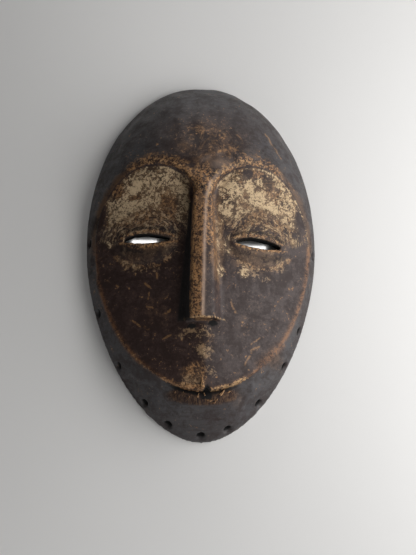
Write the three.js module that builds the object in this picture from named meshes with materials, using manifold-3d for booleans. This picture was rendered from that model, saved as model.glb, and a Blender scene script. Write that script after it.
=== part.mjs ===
// A carved wooden face mask, lying face up on the flat rim of its hollow back.
// Millimetres. +Z comes out of the face, +Y runs up to the forehead, and +X to the viewer's right.
// The origin is under the middle of the mask, in the plane that the rim lies on.

import * as THREE from 'three';
import { mergeVertices } from 'three/addons/utils/BufferGeometryUtils.js';
import Module from 'manifold-3d';

const wasm = await Module();
wasm.setup();

// Overall sizes
const maskLength = 280;
const maskWidth = 176;
const maskDepth = 55;

// Wood left around the hollow
const sideWall = 9;
const faceWall = 8;

// Face surface: how far it lies below the crown, lifts to the brow, falls to the lip, and how
// far the lip stands over the chin
const faceDrop = 14;
const browLift = 2;
const lipFall = 3.7;
const lipRise = 6;

// Nose
const noseLength = 92;
const noseBridgeWidth = 14;
const noseFrontWidth = 17;
const noseBaseWidth = 29;
const noseFacetDrop = 2.2;
const noseUndercut = 2.5;
const noseRoot = 1.5;
const nostrilWidth = 5;
const nostrilHeight = 3.2;
const nostrilDepth = 7;

// Eyes
const lidLength = 47;
const lidHeight = 36;
const lidRise = 3;
const eyeSlitLength = 39;
const eyeSlitHeight = 6.6;

// Mouth
const mouthWidth = 56;
const mouthDrop = 5.5;
const mouthUndercut = 4.5;
const mouthDepth = 2.8;
const mouthTaper = 0.9;
const mouthBackHeight = 1;
const lipThickness = 4.6;
const notchWidth = 6;
const notchHeight = 4.3;
const notchDepth = 8;

// Holes
const rimHoleDiameter = 5.2;
const rimHoleMouth = 7.4;
const rimHoleFunnel = 3;
const rimHoleRise = 6.8;
const rimHoleTilt = 10;
const nailHoleDiameter = 2.6;
const nailHoleDepth = 12;

// Turn of each lashing hole around the outline, in degrees from the chin, to the left below zero
const rimHoleTurns = [-90, -66, -48, -32, -19, -1, 15, 32, 48, 60.5, 86];

// Carving placed as shares of half the width and half the length of the mask
const across = (share) => share * maskWidth / 2;
const along = (share) => share * maskLength / 2;

const widestAt = along(0.064);
const templeX = across(0.916);
const templeY = along(0.036);
const browCrestX = across(0.455);
const browCrestY = along(0.436);
const browRootX = across(0.068);
const browRootY = along(0.243);
const eyeLineY = 0;
const noseTopY = along(0.26);
const noseBaseY = noseTopY - noseLength;
const noseAxisX = across(-0.016);
const lipY = along(-0.755);
const notchX = across(0.025);
const mouthCornerX = across(0.55);
const nailHoleX = across(-0.025);
const nailHoleY = along(0.289);

const eyes = [
  { x: across(-0.488), y: along(0.032), slitX: across(-0.464), slitY: along(0.043), peak: across(-0.09) },
  { x: across(0.483), y: along(0.024), slitX: across(0.469), slitY: along(0.028), peak: across(-0.06) },
];
const nostrils = [
  { x: across(-0.095), share: 0.6 },
  { x: across(0.064), share: 0.3 },
];

// Roundness of the outline, the dome, the face from side to side, the eyelids and the lip's fall
const foreheadPower = 2.04;
const chinPower = 1.81;
const faceEdgePower = 1.9;
const domePower = 2.6;
const domeShoulder = 0.8;
const browFullness = 2.2;
const eyeFullness = 1.7;
const muzzleFullness = 1.25;
const lidShoulder = 0.7;
const lipFallPower = 1.4;

// Share of an eye slit's height that lies above its corners, and of the nose over which its
// front rises out of the forehead
const slitUpperShare = 0.62;
const noseRootShare = 0.25;

// Steps used to facet the curved skins, how the rings crowd towards the rim, and a margin by
// which a cutter passes a surface
const ringCrowding = 1.6;
const spokes = 72;
const domeRings = 13;
const hollowSpokes = 60;
const hollowRings = 10;
const faceColumns = 46;
const faceRows = 34;
const noseSteps = 10;
const mouthSteps = 14;
const mouthRows = 3;
const roundSides = 10;
const margin = 2;

const clamp = THREE.MathUtils.clamp;
const lerp = THREE.MathUtils.lerp;

// Share of the way from the centre line to the edge of an outline that is drawn in by inset
function spread(x, y, inset) {
  const above = y > widestAt;
  const reach = (above ? maskLength / 2 - widestAt : maskLength / 2 + widestAt) - inset;
  const power = above ? foreheadPower : chinPower;
  const sideways = Math.abs(x / (maskWidth / 2 - inset)) ** power;
  const lengthways = Math.abs((y - widestAt) / reach) ** power;
  return (sideways + lengthways) ** (1 / power);
}

// Height of a dome that stands on that outline
function dome(x, y, inset, depth) {
  const share = Math.min(spread(x, y, inset), 1);
  return depth * (1 - share ** domePower) ** domeShoulder;
}

const maskDome = (x, y) => dome(x, y, 0, maskDepth);

// Point of the outline at a turn from the chin, at a share of the way out from the widest line
function outlinePoint(turn, share, inset) {
  const below = Math.cos(turn) > 0;
  const power = below ? chinPower : foreheadPower;
  const reach = (below ? maskLength / 2 + widestAt : maskLength / 2 - widestAt) - inset;
  const sideways = Math.sign(Math.sin(turn)) * Math.abs(Math.sin(turn)) ** (2 / power);
  const lengthways = Math.sign(Math.cos(turn)) * Math.abs(Math.cos(turn)) ** (2 / power);
  return [(maskWidth / 2 - inset) * sideways * share, widestAt - reach * lengthways * share];
}

// Half the width of the mask at a height, and of its face
function maskHalfWidth(y) {
  const above = y > widestAt;
  const reach = above ? maskLength / 2 - widestAt : maskLength / 2 + widestAt;
  const power = above ? foreheadPower : chinPower;
  const rest = Math.max(0, 1 - Math.abs((y - widestAt) / reach) ** power);
  return maskWidth / 2 * rest ** (1 / power);
}

function faceHalfWidth(y) {
  if (y > templeY) return templeX * maskHalfWidth(y) / maskHalfWidth(templeY);
  const share = clamp((templeY - y) / (templeY - lipY), 0, 1);
  return templeX * (1 - share ** faceEdgePower) ** (1 / faceEdgePower);
}

// Lower and upper edges of the face at a distance from the centre line
function jawLine(x) {
  const share = clamp(Math.abs(x) / templeX, 0, 1);
  return templeY - (templeY - lipY) * (1 - share ** faceEdgePower) ** (1 / faceEdgePower);
}

function browLine(x) {
  const side = Math.abs(x);
  if (side > browCrestX) {
    const share = clamp((side - browCrestX) / (templeX - browCrestX), 0, 1);
    return templeY + (browCrestY - templeY) * Math.sqrt(1 - share ** 2);
  }
  const share = clamp((browCrestX - side) / (browCrestX - browRootX), 0, 1);
  return browRootY + (browCrestY - browRootY) * Math.sqrt(1 - share ** 2);
}

// Height of the face along its centre line
function faceLine(y) {
  const up = THREE.MathUtils.smoothstep(y, eyeLineY, browCrestY);
  const down = clamp((noseBaseY - y) / (noseBaseY - lipY), 0, 1);
  return maskDepth - faceDrop + browLift * up - lipFall * down ** lipFallPower;
}

// How full the face is from side to side: flat across the brow, keeled below the nose
function faceFullness(y) {
  const up = THREE.MathUtils.smoothstep(y, eyeLineY, browRootY);
  const down = THREE.MathUtils.smoothstep(eyeLineY - y, 0, eyeLineY - noseBaseY);
  return eyeFullness + (browFullness - eyeFullness) * up + (muzzleFullness - eyeFullness) * down;
}

function lipSwell(y) {
  if (y > noseBaseY) return 0;
  return lipRise * clamp(1 - (faceHalfWidth(y) / mouthCornerX) ** 2, 0, 1);
}

// Surface of the face without eyelids: with its lip, or smooth for the hollow behind it
function faceSurface(x, y, swell) {
  const half = Math.max(faceHalfWidth(y), 0.5);
  const edge = maskDome(half, y) + swell;
  const share = clamp(Math.abs(x) / half, 0, 1);
  const middle = faceLine(y);
  return middle - (middle - edge) * share ** faceFullness(y);
}

function eyelids(x, y) {
  let rise = 0;
  for (const eye of eyes) {
    const out = ((x - eye.x) / (lidLength / 2)) ** 2 + ((y - eye.y) / (lidHeight / 2)) ** 2;
    rise += lidRise * Math.max(0, 1 - out) ** lidShoulder;
  }
  return rise;
}

const carvedFace = (x, y) => faceSurface(x, y, lipSwell(y)) + eyelids(x, y);

// Height of the hollow's skin: the inner dome, or the face less its wall where that is lower
function hollowSkin(x, y) {
  const brow = browLine(Math.max(Math.abs(x), browCrestX));
  const behindFace = faceSurface(x, Math.min(y, brow), 0) - faceWall + Math.max(0, y - brow - faceWall);
  return Math.min(dome(x, y, sideWall, maskDepth - faceWall), behindFace);
}

// Closed solid over a grid of plan points, between a top skin and a bottom skin
function blockOver(plan, columns, rows, top, bottom, wraps = false) {
  const positions = [];
  for (let i = 0; i <= columns; i++) {
    for (let j = 0; j <= rows; j++) {
      const [x, y] = plan(i / columns, j / rows);
      const low = bottom(x, y, j / rows);
      positions.push(x, y, top(x, y, j / rows), x, y, low);
    }
  }
  const upper = (i, j) => 2 * (i * (rows + 1) + j);
  const index = [];
  const quad = (a, b, c, d) => index.push(a, b, c, a, c, d);
  for (let i = 0; i < columns; i++) {
    for (let j = 0; j < rows; j++) {
      const [a, b, c, d] = [upper(i, j), upper(i + 1, j), upper(i + 1, j + 1), upper(i, j + 1)];
      quad(a, b, c, d);
      quad(d + 1, c + 1, b + 1, a + 1);
    }
    quad(upper(i, 0) + 1, upper(i + 1, 0) + 1, upper(i + 1, 0), upper(i, 0));
    quad(upper(i + 1, rows) + 1, upper(i, rows) + 1, upper(i, rows), upper(i + 1, rows));
  }
  for (let j = 0; j < rows && !wraps; j++) {
    quad(upper(0, j + 1) + 1, upper(0, j) + 1, upper(0, j), upper(0, j + 1));
    quad(upper(columns, j) + 1, upper(columns, j + 1) + 1, upper(columns, j + 1), upper(columns, j));
  }
  const geometry = new THREE.BufferGeometry();
  geometry.setAttribute('position', new THREE.Float32BufferAttribute(positions, 3));
  geometry.setIndex(index);
  return solidOf(geometry);
}

// Closed solid through a row of sections that all have the same number of corners
function loft(sections) {
  const corners = sections[0].length;
  const last = (sections.length - 1) * corners;
  const index = [];
  for (let from = 0; from < last; from += corners) {
    for (let k = 0; k < corners; k++) {
      const next = (k + 1) % corners;
      index.push(from + k, from + next, from + corners + next);
      index.push(from + k, from + corners + next, from + corners + k);
    }
  }
  for (let k = 1; k < corners - 1; k++) {
    index.push(0, k + 1, k, last, last + k, last + k + 1);
  }
  const geometry = new THREE.BufferGeometry();
  geometry.setAttribute('position', new THREE.Float32BufferAttribute(sections.flat(2), 3));
  geometry.setIndex(index);
  return solidOf(geometry);
}

// Solid for joining and cutting, without the faces that shrink to nothing at a pole or an edge
function solidOf(geometry) {
  geometry.deleteAttribute('normal');
  geometry.deleteAttribute('uv');
  const merged = mergeVertices(geometry, 1e-4);
  const corners = merged.index.array;
  const kept = [];
  for (let k = 0; k < corners.length; k += 3) {
    const [a, b, c] = corners.slice(k, k + 3);
    if (a !== b && b !== c && c !== a) kept.push(a, b, c);
  }
  return new wasm.Manifold(new wasm.Mesh({
    numProp: 3,
    vertProperties: new Float32Array(merged.attributes.position.array),
    triVerts: new Uint32Array(kept),
  }));
}

function geometryOf(solid) {
  const mesh = solid.getMesh();
  const geometry = new THREE.BufferGeometry();
  geometry.setAttribute('position', new THREE.BufferAttribute(mesh.vertProperties, 3));
  geometry.setIndex(new THREE.BufferAttribute(mesh.triVerts, 1));
  geometry.computeVertexNormals();
  return geometry;
}

// Share of the way out at which a ring of a dome lies
const ringShare = (v) => 1 - (1 - v) ** ringCrowding;

// The egg-shaped blank, flat below
function makeBlank() {
  const plan = (u, v) => outlinePoint(-2 * Math.PI * u, ringShare(v), 0);
  return blockOver(plan, spokes, domeRings, maskDome, () => 0, true);
}

// Wood left standing under the lip, to be dressed down to the face
function makeLipBlock() {
  const plan = (u, v) => {
    const x = lerp(-mouthCornerX, mouthCornerX, u);
    return [x, lerp(jawLine(x), noseBaseY, v)];
  };
  const foot = (x, y) => hollowSkin(x, y) - margin;
  return blockOver(plan, faceColumns, mouthRows, () => maskDepth, foot);
}

// Everything in front of the face, which runs a little past the lip where the lip stands proud
function makeFaceCutter() {
  const plan = (u, v) => {
    const x = -templeX * Math.cos(Math.PI * u);
    const proud = clamp(1 - (x / mouthCornerX) ** 2, 0, 1);
    return [x, lerp(jawLine(x) - margin * proud, browLine(x), v)];
  };
  return blockOver(plan, faceColumns, faceRows, () => maskDepth + margin, carvedFace);
}

// The nose: a low ridge between two facets, with steep sides down into the face
function makeNose() {
  const sections = [];
  for (let i = 0; i <= noseSteps; i++) {
    const share = i / noseSteps;
    const y = noseTopY - noseLength * share;
    const ridge = maskDome(0, y);
    const edge = ridge - noseFacetDrop * Math.min(1, share / noseRootShare);
    const front = lerp(noseBridgeWidth, noseFrontWidth, share) / 2;
    const foot = lerp(noseBridgeWidth, noseBaseWidth, share) / 2;
    const footX = noseAxisX * (1 - share);
    const footY = y - noseUndercut * share;
    const footZ = carvedFace(foot, y) - noseRoot;
    sections.push([
      [noseAxisX, y, ridge],
      [noseAxisX - front, y, edge],
      [footX - foot, footY, footZ],
      [footX + foot, footY, footZ],
      [noseAxisX + front, y, edge],
    ]);
  }
  return loft(sections);
}

function makeHollow() {
  const plan = (u, v) => outlinePoint(-2 * Math.PI * u, ringShare(v), sideWall);
  return blockOver(plan, hollowSpokes, hollowRings, hollowSkin, () => -margin, true);
}

// A leaf-shaped slit through the wall behind an eyelid
function makeEyeSlit(eye) {
  const half = eyeSlitLength / 2;
  const leaf = new THREE.Shape();
  leaf.moveTo(-half, 0);
  leaf.quadraticCurveTo(eye.peak, 2 * slitUpperShare * eyeSlitHeight, half, 0);
  leaf.quadraticCurveTo(0, -2 * (1 - slitUpperShare) * eyeSlitHeight, -half, 0);
  const slit = new THREE.ExtrudeGeometry(leaf, { depth: maskDepth, bevelEnabled: false, curveSegments: 8 });
  slit.translate(eye.slitX, eye.slitY, 0);
  return solidOf(slit);
}

// Scoop under the lip: its floor dips below the chin, and its roof is the underside of the lip
function makeMouth() {
  const half = mouthWidth / 2;
  const fade = (x) => 1 - mouthTaper * (x / half) ** 2;
  const plan = (u, v) => {
    const x = lerp(-half, half, u);
    return [x, lerp(jawLine(x) - mouthDrop * fade(x), jawLine(x) + mouthUndercut * fade(x), v)];
  };
  const outerShare = mouthDrop / (mouthDrop + mouthUndercut);
  const floor = (x, y, v) => maskDome(x, jawLine(x)) - mouthDepth * fade(x) * Math.min(1, v / outerShare);
  const roof = (x, y, v) => {
    if (v < outerShare) return maskDome(x, y) + lipThickness;
    const back = floor(x, y, v) + mouthBackHeight;
    const underLip = carvedFace(x, jawLine(x)) - lipThickness;
    return Math.max(back, lerp(underLip, back, (v - outerShare) / (1 - outerShare)));
  };
  return blockOver(plan, mouthSteps, 2 * mouthRows, roof, floor);
}

// The V broken out of the lip
function makeNotch() {
  const wedge = new THREE.Shape();
  wedge.moveTo(notchX - notchWidth / 2, lipY - margin);
  wedge.lineTo(notchX + notchWidth / 2, lipY - margin);
  wedge.lineTo(notchX, lipY + notchHeight);
  wedge.closePath();
  const notch = new THREE.ExtrudeGeometry(wedge, { depth: notchDepth, bevelEnabled: false });
  notch.translate(0, 0, maskDome(notchX, lipY));
  return solidOf(notch);
}

// A lashing hole through the side wall just above the rim, with a funnel worn into its mouth
function makeRimHole(turnDegrees) {
  const turn = THREE.MathUtils.degToRad(turnDegrees);
  const smallTurn = THREE.MathUtils.degToRad(1);
  const share = (1 - (rimHoleRise / maskDepth) ** (1 / domeShoulder)) ** (1 / domePower);
  const [x, y] = outlinePoint(turn, share, 0);
  const [beforeX, beforeY] = outlinePoint(turn - smallTurn, share, 0);
  const [afterX, afterY] = outlinePoint(turn + smallTurn, share, 0);
  const tilt = THREE.MathUtils.degToRad(rimHoleTilt);
  const outward = new THREE.Vector3(afterY - beforeY, beforeX - afterX, 0).normalize();
  outward.multiplyScalar(Math.cos(tilt)).setZ(Math.sin(tilt));
  const turned = new THREE.Quaternion().setFromUnitVectors(new THREE.Vector3(0, 1, 0), outward);
  const length = 2 * sideWall + 2 * margin;
  const throat = rimHoleDiameter / 2;
  const flare = rimHoleMouth / 2 - throat;
  const profile = [
    new THREE.Vector2(0, -length / 2),
    new THREE.Vector2(throat, -length / 2),
    new THREE.Vector2(throat, -rimHoleFunnel),
    new THREE.Vector2(throat + 2 * flare, rimHoleFunnel),
    new THREE.Vector2(0, rimHoleFunnel),
  ];
  const hole = new THREE.LatheGeometry(profile, roundSides);
  hole.applyQuaternion(turned);
  hole.translate(x, y, rimHoleRise);
  return solidOf(hole);
}

// A blind nail hole between the brows
function makeNailHole() {
  const hole = new THREE.CylinderGeometry(nailHoleDiameter / 2, nailHoleDiameter / 2, 2 * nailHoleDepth, roundSides);
  hole.rotateX(Math.PI / 2);
  hole.translate(nailHoleX, nailHoleY, maskDome(nailHoleX, nailHoleY));
  return solidOf(hole);
}

// A nostril bored up into the underside of the nose
function makeNostril(nostril) {
  const tipZ = maskDome(0, noseBaseY);
  const z = lerp(tipZ, carvedFace(0, noseBaseY), nostril.share);
  const hole = new THREE.CylinderGeometry(0.5, 0.5, 2 * nostrilDepth, roundSides);
  hole.scale(nostrilWidth, 1, nostrilHeight);
  hole.translate(nostril.x, noseBaseY - noseUndercut * nostril.share, z);
  return solidOf(hole);
}

function makeMask() {
  let mask = makeBlank().add(makeLipBlock()).subtract(makeFaceCutter()).add(makeNose());
  const cuts = [
    makeHollow(),
    ...eyes.map(makeEyeSlit),
    makeMouth(),
    makeNotch(),
    ...nostrils.map(makeNostril),
    makeNailHole(),
    ...rimHoleTurns.map(makeRimHole),
  ];
  for (const cut of cuts) mask = mask.subtract(cut);
  const wood = new THREE.MeshStandardMaterial({ color: 0x40342c, roughness: 0.5, metalness: 0 });
  const mesh = new THREE.Mesh(geometryOf(mask), wood);
  mesh.name = 'mask';
  return mesh;
}

const model = new THREE.Group();
model.add(makeMask());

export default model;
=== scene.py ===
"""A carved wooden face mask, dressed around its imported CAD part.

It lies face up on a pale floor, under a soft light from the right, with the camera a little
below the chin. Sizes are in metres: +Z comes out of the face and +Y runs up to the forehead.
"""

import functools
import math

import bmesh
import bpy
import numpy as np
from bpy.props import FloatProperty, FloatVectorProperty, IntProperty, PointerProperty
from mathutils import Matrix, Vector, noise
from mathutils.kdtree import KDTree


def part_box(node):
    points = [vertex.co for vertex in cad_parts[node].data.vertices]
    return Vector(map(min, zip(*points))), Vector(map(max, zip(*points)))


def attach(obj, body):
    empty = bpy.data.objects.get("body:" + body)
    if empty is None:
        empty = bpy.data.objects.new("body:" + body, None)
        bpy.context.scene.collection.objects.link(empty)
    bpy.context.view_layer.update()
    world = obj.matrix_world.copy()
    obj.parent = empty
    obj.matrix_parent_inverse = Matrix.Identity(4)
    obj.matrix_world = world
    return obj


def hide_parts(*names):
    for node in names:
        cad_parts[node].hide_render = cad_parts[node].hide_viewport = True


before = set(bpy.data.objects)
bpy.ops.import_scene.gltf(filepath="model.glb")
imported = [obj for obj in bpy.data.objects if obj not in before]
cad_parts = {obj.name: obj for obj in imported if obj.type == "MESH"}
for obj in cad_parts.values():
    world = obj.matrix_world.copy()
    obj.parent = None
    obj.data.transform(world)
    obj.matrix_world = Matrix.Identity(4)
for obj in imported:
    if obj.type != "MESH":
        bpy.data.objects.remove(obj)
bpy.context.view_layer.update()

bl_info = {
    "name": "Carved face mask",
    "version": (1, 0, 0),
    "blender": (4, 5, 0),
    "location": "View3D > Sidebar > Mask",
    "description": "Carves a patinated wooden face mask and lays it on a pale floor",
    "category": "Object",
}

CAD_NODE = "mask"
NODE_LOW, NODE_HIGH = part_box(CAD_NODE)
MASK_PIECE = "carved_mask"
SPLINTER_PIECE = "lip_splinters"
MM = 0.001


def setting(name, default, description, **options):
    return FloatProperty(name=name, default=default, description=description, **options)


def length(name, millimetres, description):
    return setting(name, millimetres * MM, description, min=0.0, unit="LENGTH", precision=4)


def colour(name, red, green, blue, description):
    return FloatVectorProperty(
        name=name,
        description=description,
        default=(red, green, blue),
        size=3,
        min=0.0,
        max=1.0,
        subtype="COLOR",
    )


class MaskSizes(bpy.types.PropertyGroup):
    """Sizes of the carving"""

    long: setting("Length", NODE_HIGH.y - NODE_LOW.y, "From the forehead's rim to the chin's", unit="LENGTH")
    wide: setting("Width", NODE_HIGH.x - NODE_LOW.x, "Across the temples", unit="LENGTH")
    deep: setting("Depth", NODE_HIGH.z - NODE_LOW.z, "From the rim to the crown", unit="LENGTH")
    side_wall: length("Side wall", 9, "Wood left beside the hollow")
    face_wall: length("Face wall", 8, "Wood left behind the face")
    face_drop: length("Face drop", 14, "How far the face lies below the crown")
    brow_lift: length("Brow lift", 2, "How far the face lifts towards the brow")
    lip_fall: length("Lip fall", 3.7, "How far the face falls towards the lip")
    lip_rise: length("Lip rise", 6, "How far the lip stands over the chin")
    nose_length: length("Nose length", 92, "From the root to the base")
    nose_bridge: length("Nose bridge", 14, "Width of the nose at its root")
    nose_front: length("Nose front", 17, "Width of the nose's front at its base")
    nose_foot: length("Nose foot", 29, "Width of the nose where its base meets the face")
    nose_facet: length("Nose facet", 2.2, "How far the front's edges lie below the ridge")
    lid_long: length("Lid length", 47, "Length of an eyelid")
    lid_high: length("Lid height", 36, "Height of an eyelid")
    lid_rise: length("Lid rise", 3, "How far an eyelid stands out of the face")
    slit_long: length("Slit length", 39, "Length of an eye slit")
    slit_high: length("Slit height", 6.6, "Height of an eye slit")
    mouth_wide: length("Mouth width", 56, "Width of the scoop under the lip")
    mouth_drop: length("Mouth drop", 5.5, "How far the scoop runs below the lip")
    mouth_cut: length("Mouth cut", 4.5, "How far the scoop runs in under the lip")
    mouth_deep: length("Mouth depth", 2.8, "How deep the scoop is cut")
    lip_thick: length("Lip thickness", 4.6, "Thickness of the lip")
    notch_wide: length("Notch width", 6, "Width of the notch in the lip")
    notch_high: length("Notch height", 4.3, "Height of the notch in the lip")
    rim_hole: length("Rim hole", 5.2, "Diameter of a lashing hole")
    rim_hole_mouth: length("Rim hole mouth", 7.4, "Diameter of a lashing hole's worn mouth")
    rim_hole_rise: length("Rim hole rise", 6.8, "Height of the lashing holes above the rim")
    nail_hole: length("Nail hole", 2.6, "Diameter of the nail hole between the brows")
    fineness: length("Mesh fineness", 1.0, "Edge of the mesh's squares")
    wear: IntProperty(name="Wear", default=2, min=0, max=8, description="Passes that round the edges")
    seed: IntProperty(name="Seed", default=4, description="Seed of the carving marks")
    triangles: IntProperty(
        name="Triangles", default=192000, min=1000, description="Most triangles in the carving"
    )


class MaskColours(bpy.types.PropertyGroup):
    """Colours of the wood and what clings to it"""

    charcoal: colour("Charcoal", 0.051, 0.048, 0.051, "Smooth patina on the forehead, sides and chin")
    umber: colour("Umber", 0.066, 0.043, 0.031, "Brown patina where the charcoal has thinned")
    soot: colour("Soot", 0.022, 0.0095, 0.007, "Dark reddish patina of the cheeks")
    mauve: colour("Mauve", 0.050, 0.030, 0.026, "Paler reddish patina of the cheeks")
    brown: colour("Brown wood", 0.115, 0.062, 0.032, "Warm brown around the brow, nose and sockets")
    tan: colour("Tan wood", 0.40, 0.212, 0.088, "Wood that shows through thin patina")
    # Also paints the highlights on the brow's edge, the nose's bridge and the lip.
    bare: colour("Bare wood", 0.52, 0.33, 0.165, "Wood laid bare along the edges")
    # Also paints the pinkish highlight along the nose's ridge.
    worn: colour("Worn wood", 0.58, 0.41, 0.31, "Polished wood along the nose's ridge")
    rust: colour("Rust", 0.23, 0.102, 0.040, "Reddish wood along the jaw's ridge")
    kaolin: colour("Kaolin", 0.59, 0.44, 0.272, "Clean pale clay")
    clay: colour("Clay", 0.31, 0.20, 0.11, "Dirty pale clay")
    # Painted shade: black put into the holes, on the slits' walls, in the creases and the mouth, and with
    # soot beside the nose.
    shade_black: colour("Black", 0.004, 0.0035, 0.0035, "Deep cuts and holes")
    hollow: colour("Hollow", 0.075, 0.052, 0.036, "Dry wood of the hollow back")


class StageSettings(bpy.types.PropertyGroup):
    """Floor, lights and camera"""

    floor: colour("Floor", 0.80, 0.79, 0.775, "Colour of the floor")
    key: setting("Key light", 3.6, "Power of the light on the right", unit="POWER")
    chin_fill: setting("Chin fill", 1.55, "Power of the light on the left, below the chin", unit="POWER")
    crown_fill: setting("Crown fill", 1.2, "Power of the light beyond the forehead", unit="POWER")
    side_fill: setting("Side fill", 1.0, "Power of the light beyond the right temple", unit="POWER")
    back_glow: setting("Back glow", 0.0004, "Power of each light behind a slit", unit="POWER", precision=5)
    sky: setting("Sky", 0.01, "Strength of the even light all round")
    tilt: setting("Camera tilt", math.radians(15), "Towards the chin, from straight above", subtype="ANGLE")
    turn: setting("Camera turn", math.radians(3), "Towards the left, from straight above", subtype="ANGLE")
    distance: setting("Camera distance", 0.75, "From the middle of the mask", unit="LENGTH")


# Distance in millimetres at which a corner has no scratch near it
NO_SCRATCH = 3.0

# Short scratches through the patina: both ends of each, across and along the mask in millimetres
SCRATCHES = (
    (-71, -22, -69, -24),
    (-64, -26, -62, -28),
    (-34, -20, -34, -24),
    (-43, -27, -39, -31),
    (-40, -34, -40, -38),
    (-41, -44, -37, -45),
    (-51, -54, -46, -58),
    (-43, -58, -39, -61),
    (-26, -49, -24, -48),
    (-29, -68, -24, -65),
    (20, -41, 23, -49),
    (30, -59, 31, -59),
    (21, -59, 21, -59),
    (34, -71, 41, -66),
    (34, -76, 41, -72),
    (34, -76, 35, -77),
    (30, -86, 34, -80),
    (-1, -75, 5, -66),
    (-10, 90, -9, 90),
    (15, 86, 16, 85),
    (25, 86, 30, 77),
    (18, 74, 31, 69),
    (48, 93, 60, 73),
    (65, 53, 69, 48),
)

# Torn fibres under the lip: place in millimetres, heading in degrees from the right, length in millimetres
SPLINTERS = (
    (-10, -110, 84, 3.0),
    (4, -112, 12, 5.0),
    (8, -113, 45, 4.4),
    (13, -107, 52, 5.2),
    (-20, -106, 75, 2.6),
    (-1, -102, 92, 7.0),
    (-14, -107, 100, 2.2),
    (-4, -109, 70, 3.0),
    (1, -108, 110, 2.6),
    (18, -106, 40, 2.6),
)


# Numbers over arrays


def share_of(value, low, high):
    """Where a value lies between low and high, held between 0 and 1."""
    return np.clip((value - low) / (high - low), 0, 1)


def smooth(value, low, high):
    share = share_of(value, low, high)
    return share * share * (3 - 2 * share)


def lerp(low, high, share):
    return low + (high - low) * share


def noise_over(points, size, seed=0):
    """Smooth noise between about -1 and 1, with lumps of a size; size may differ along x, y and z."""
    scaled = points / np.asarray(size, float) + 17.3 * seed
    return np.array([noise.noise(point) for point in scaled.tolist()])


def spot(x, y, centre_x, centre_y, reach_x, reach_y, edge=0.5):
    """A soft-edged oval: 1 within, 0 outside. Places and reaches are in millimetres."""
    out = np.sqrt(((x / MM - centre_x) / reach_x) ** 2 + ((y / MM - centre_y) / reach_y) ** 2)
    return 1 - smooth(out, 1 - edge, 1)


def most(*layers):
    """The highest of several layers at each place."""
    return functools.reduce(np.maximum, layers)


def bell(value, peak, reach):
    """1 at the peak, fading to 0 over a reach."""
    return np.exp(-(((value - peak) / reach) ** 2))


def band(value, start, full, fade, end):
    """0 below start, 1 from full to fade, 0 beyond end."""
    return smooth(value, start, full) * (1 - smooth(value, fade, end))


def ring(x, y, radius_x, radius_y):
    """Corners of a small oval."""
    turns = np.linspace(0, 2 * np.pi, 20, endpoint=False)
    return [(x + radius_x * math.cos(turn), y + radius_y * math.sin(turn)) for turn in turns]


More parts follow.
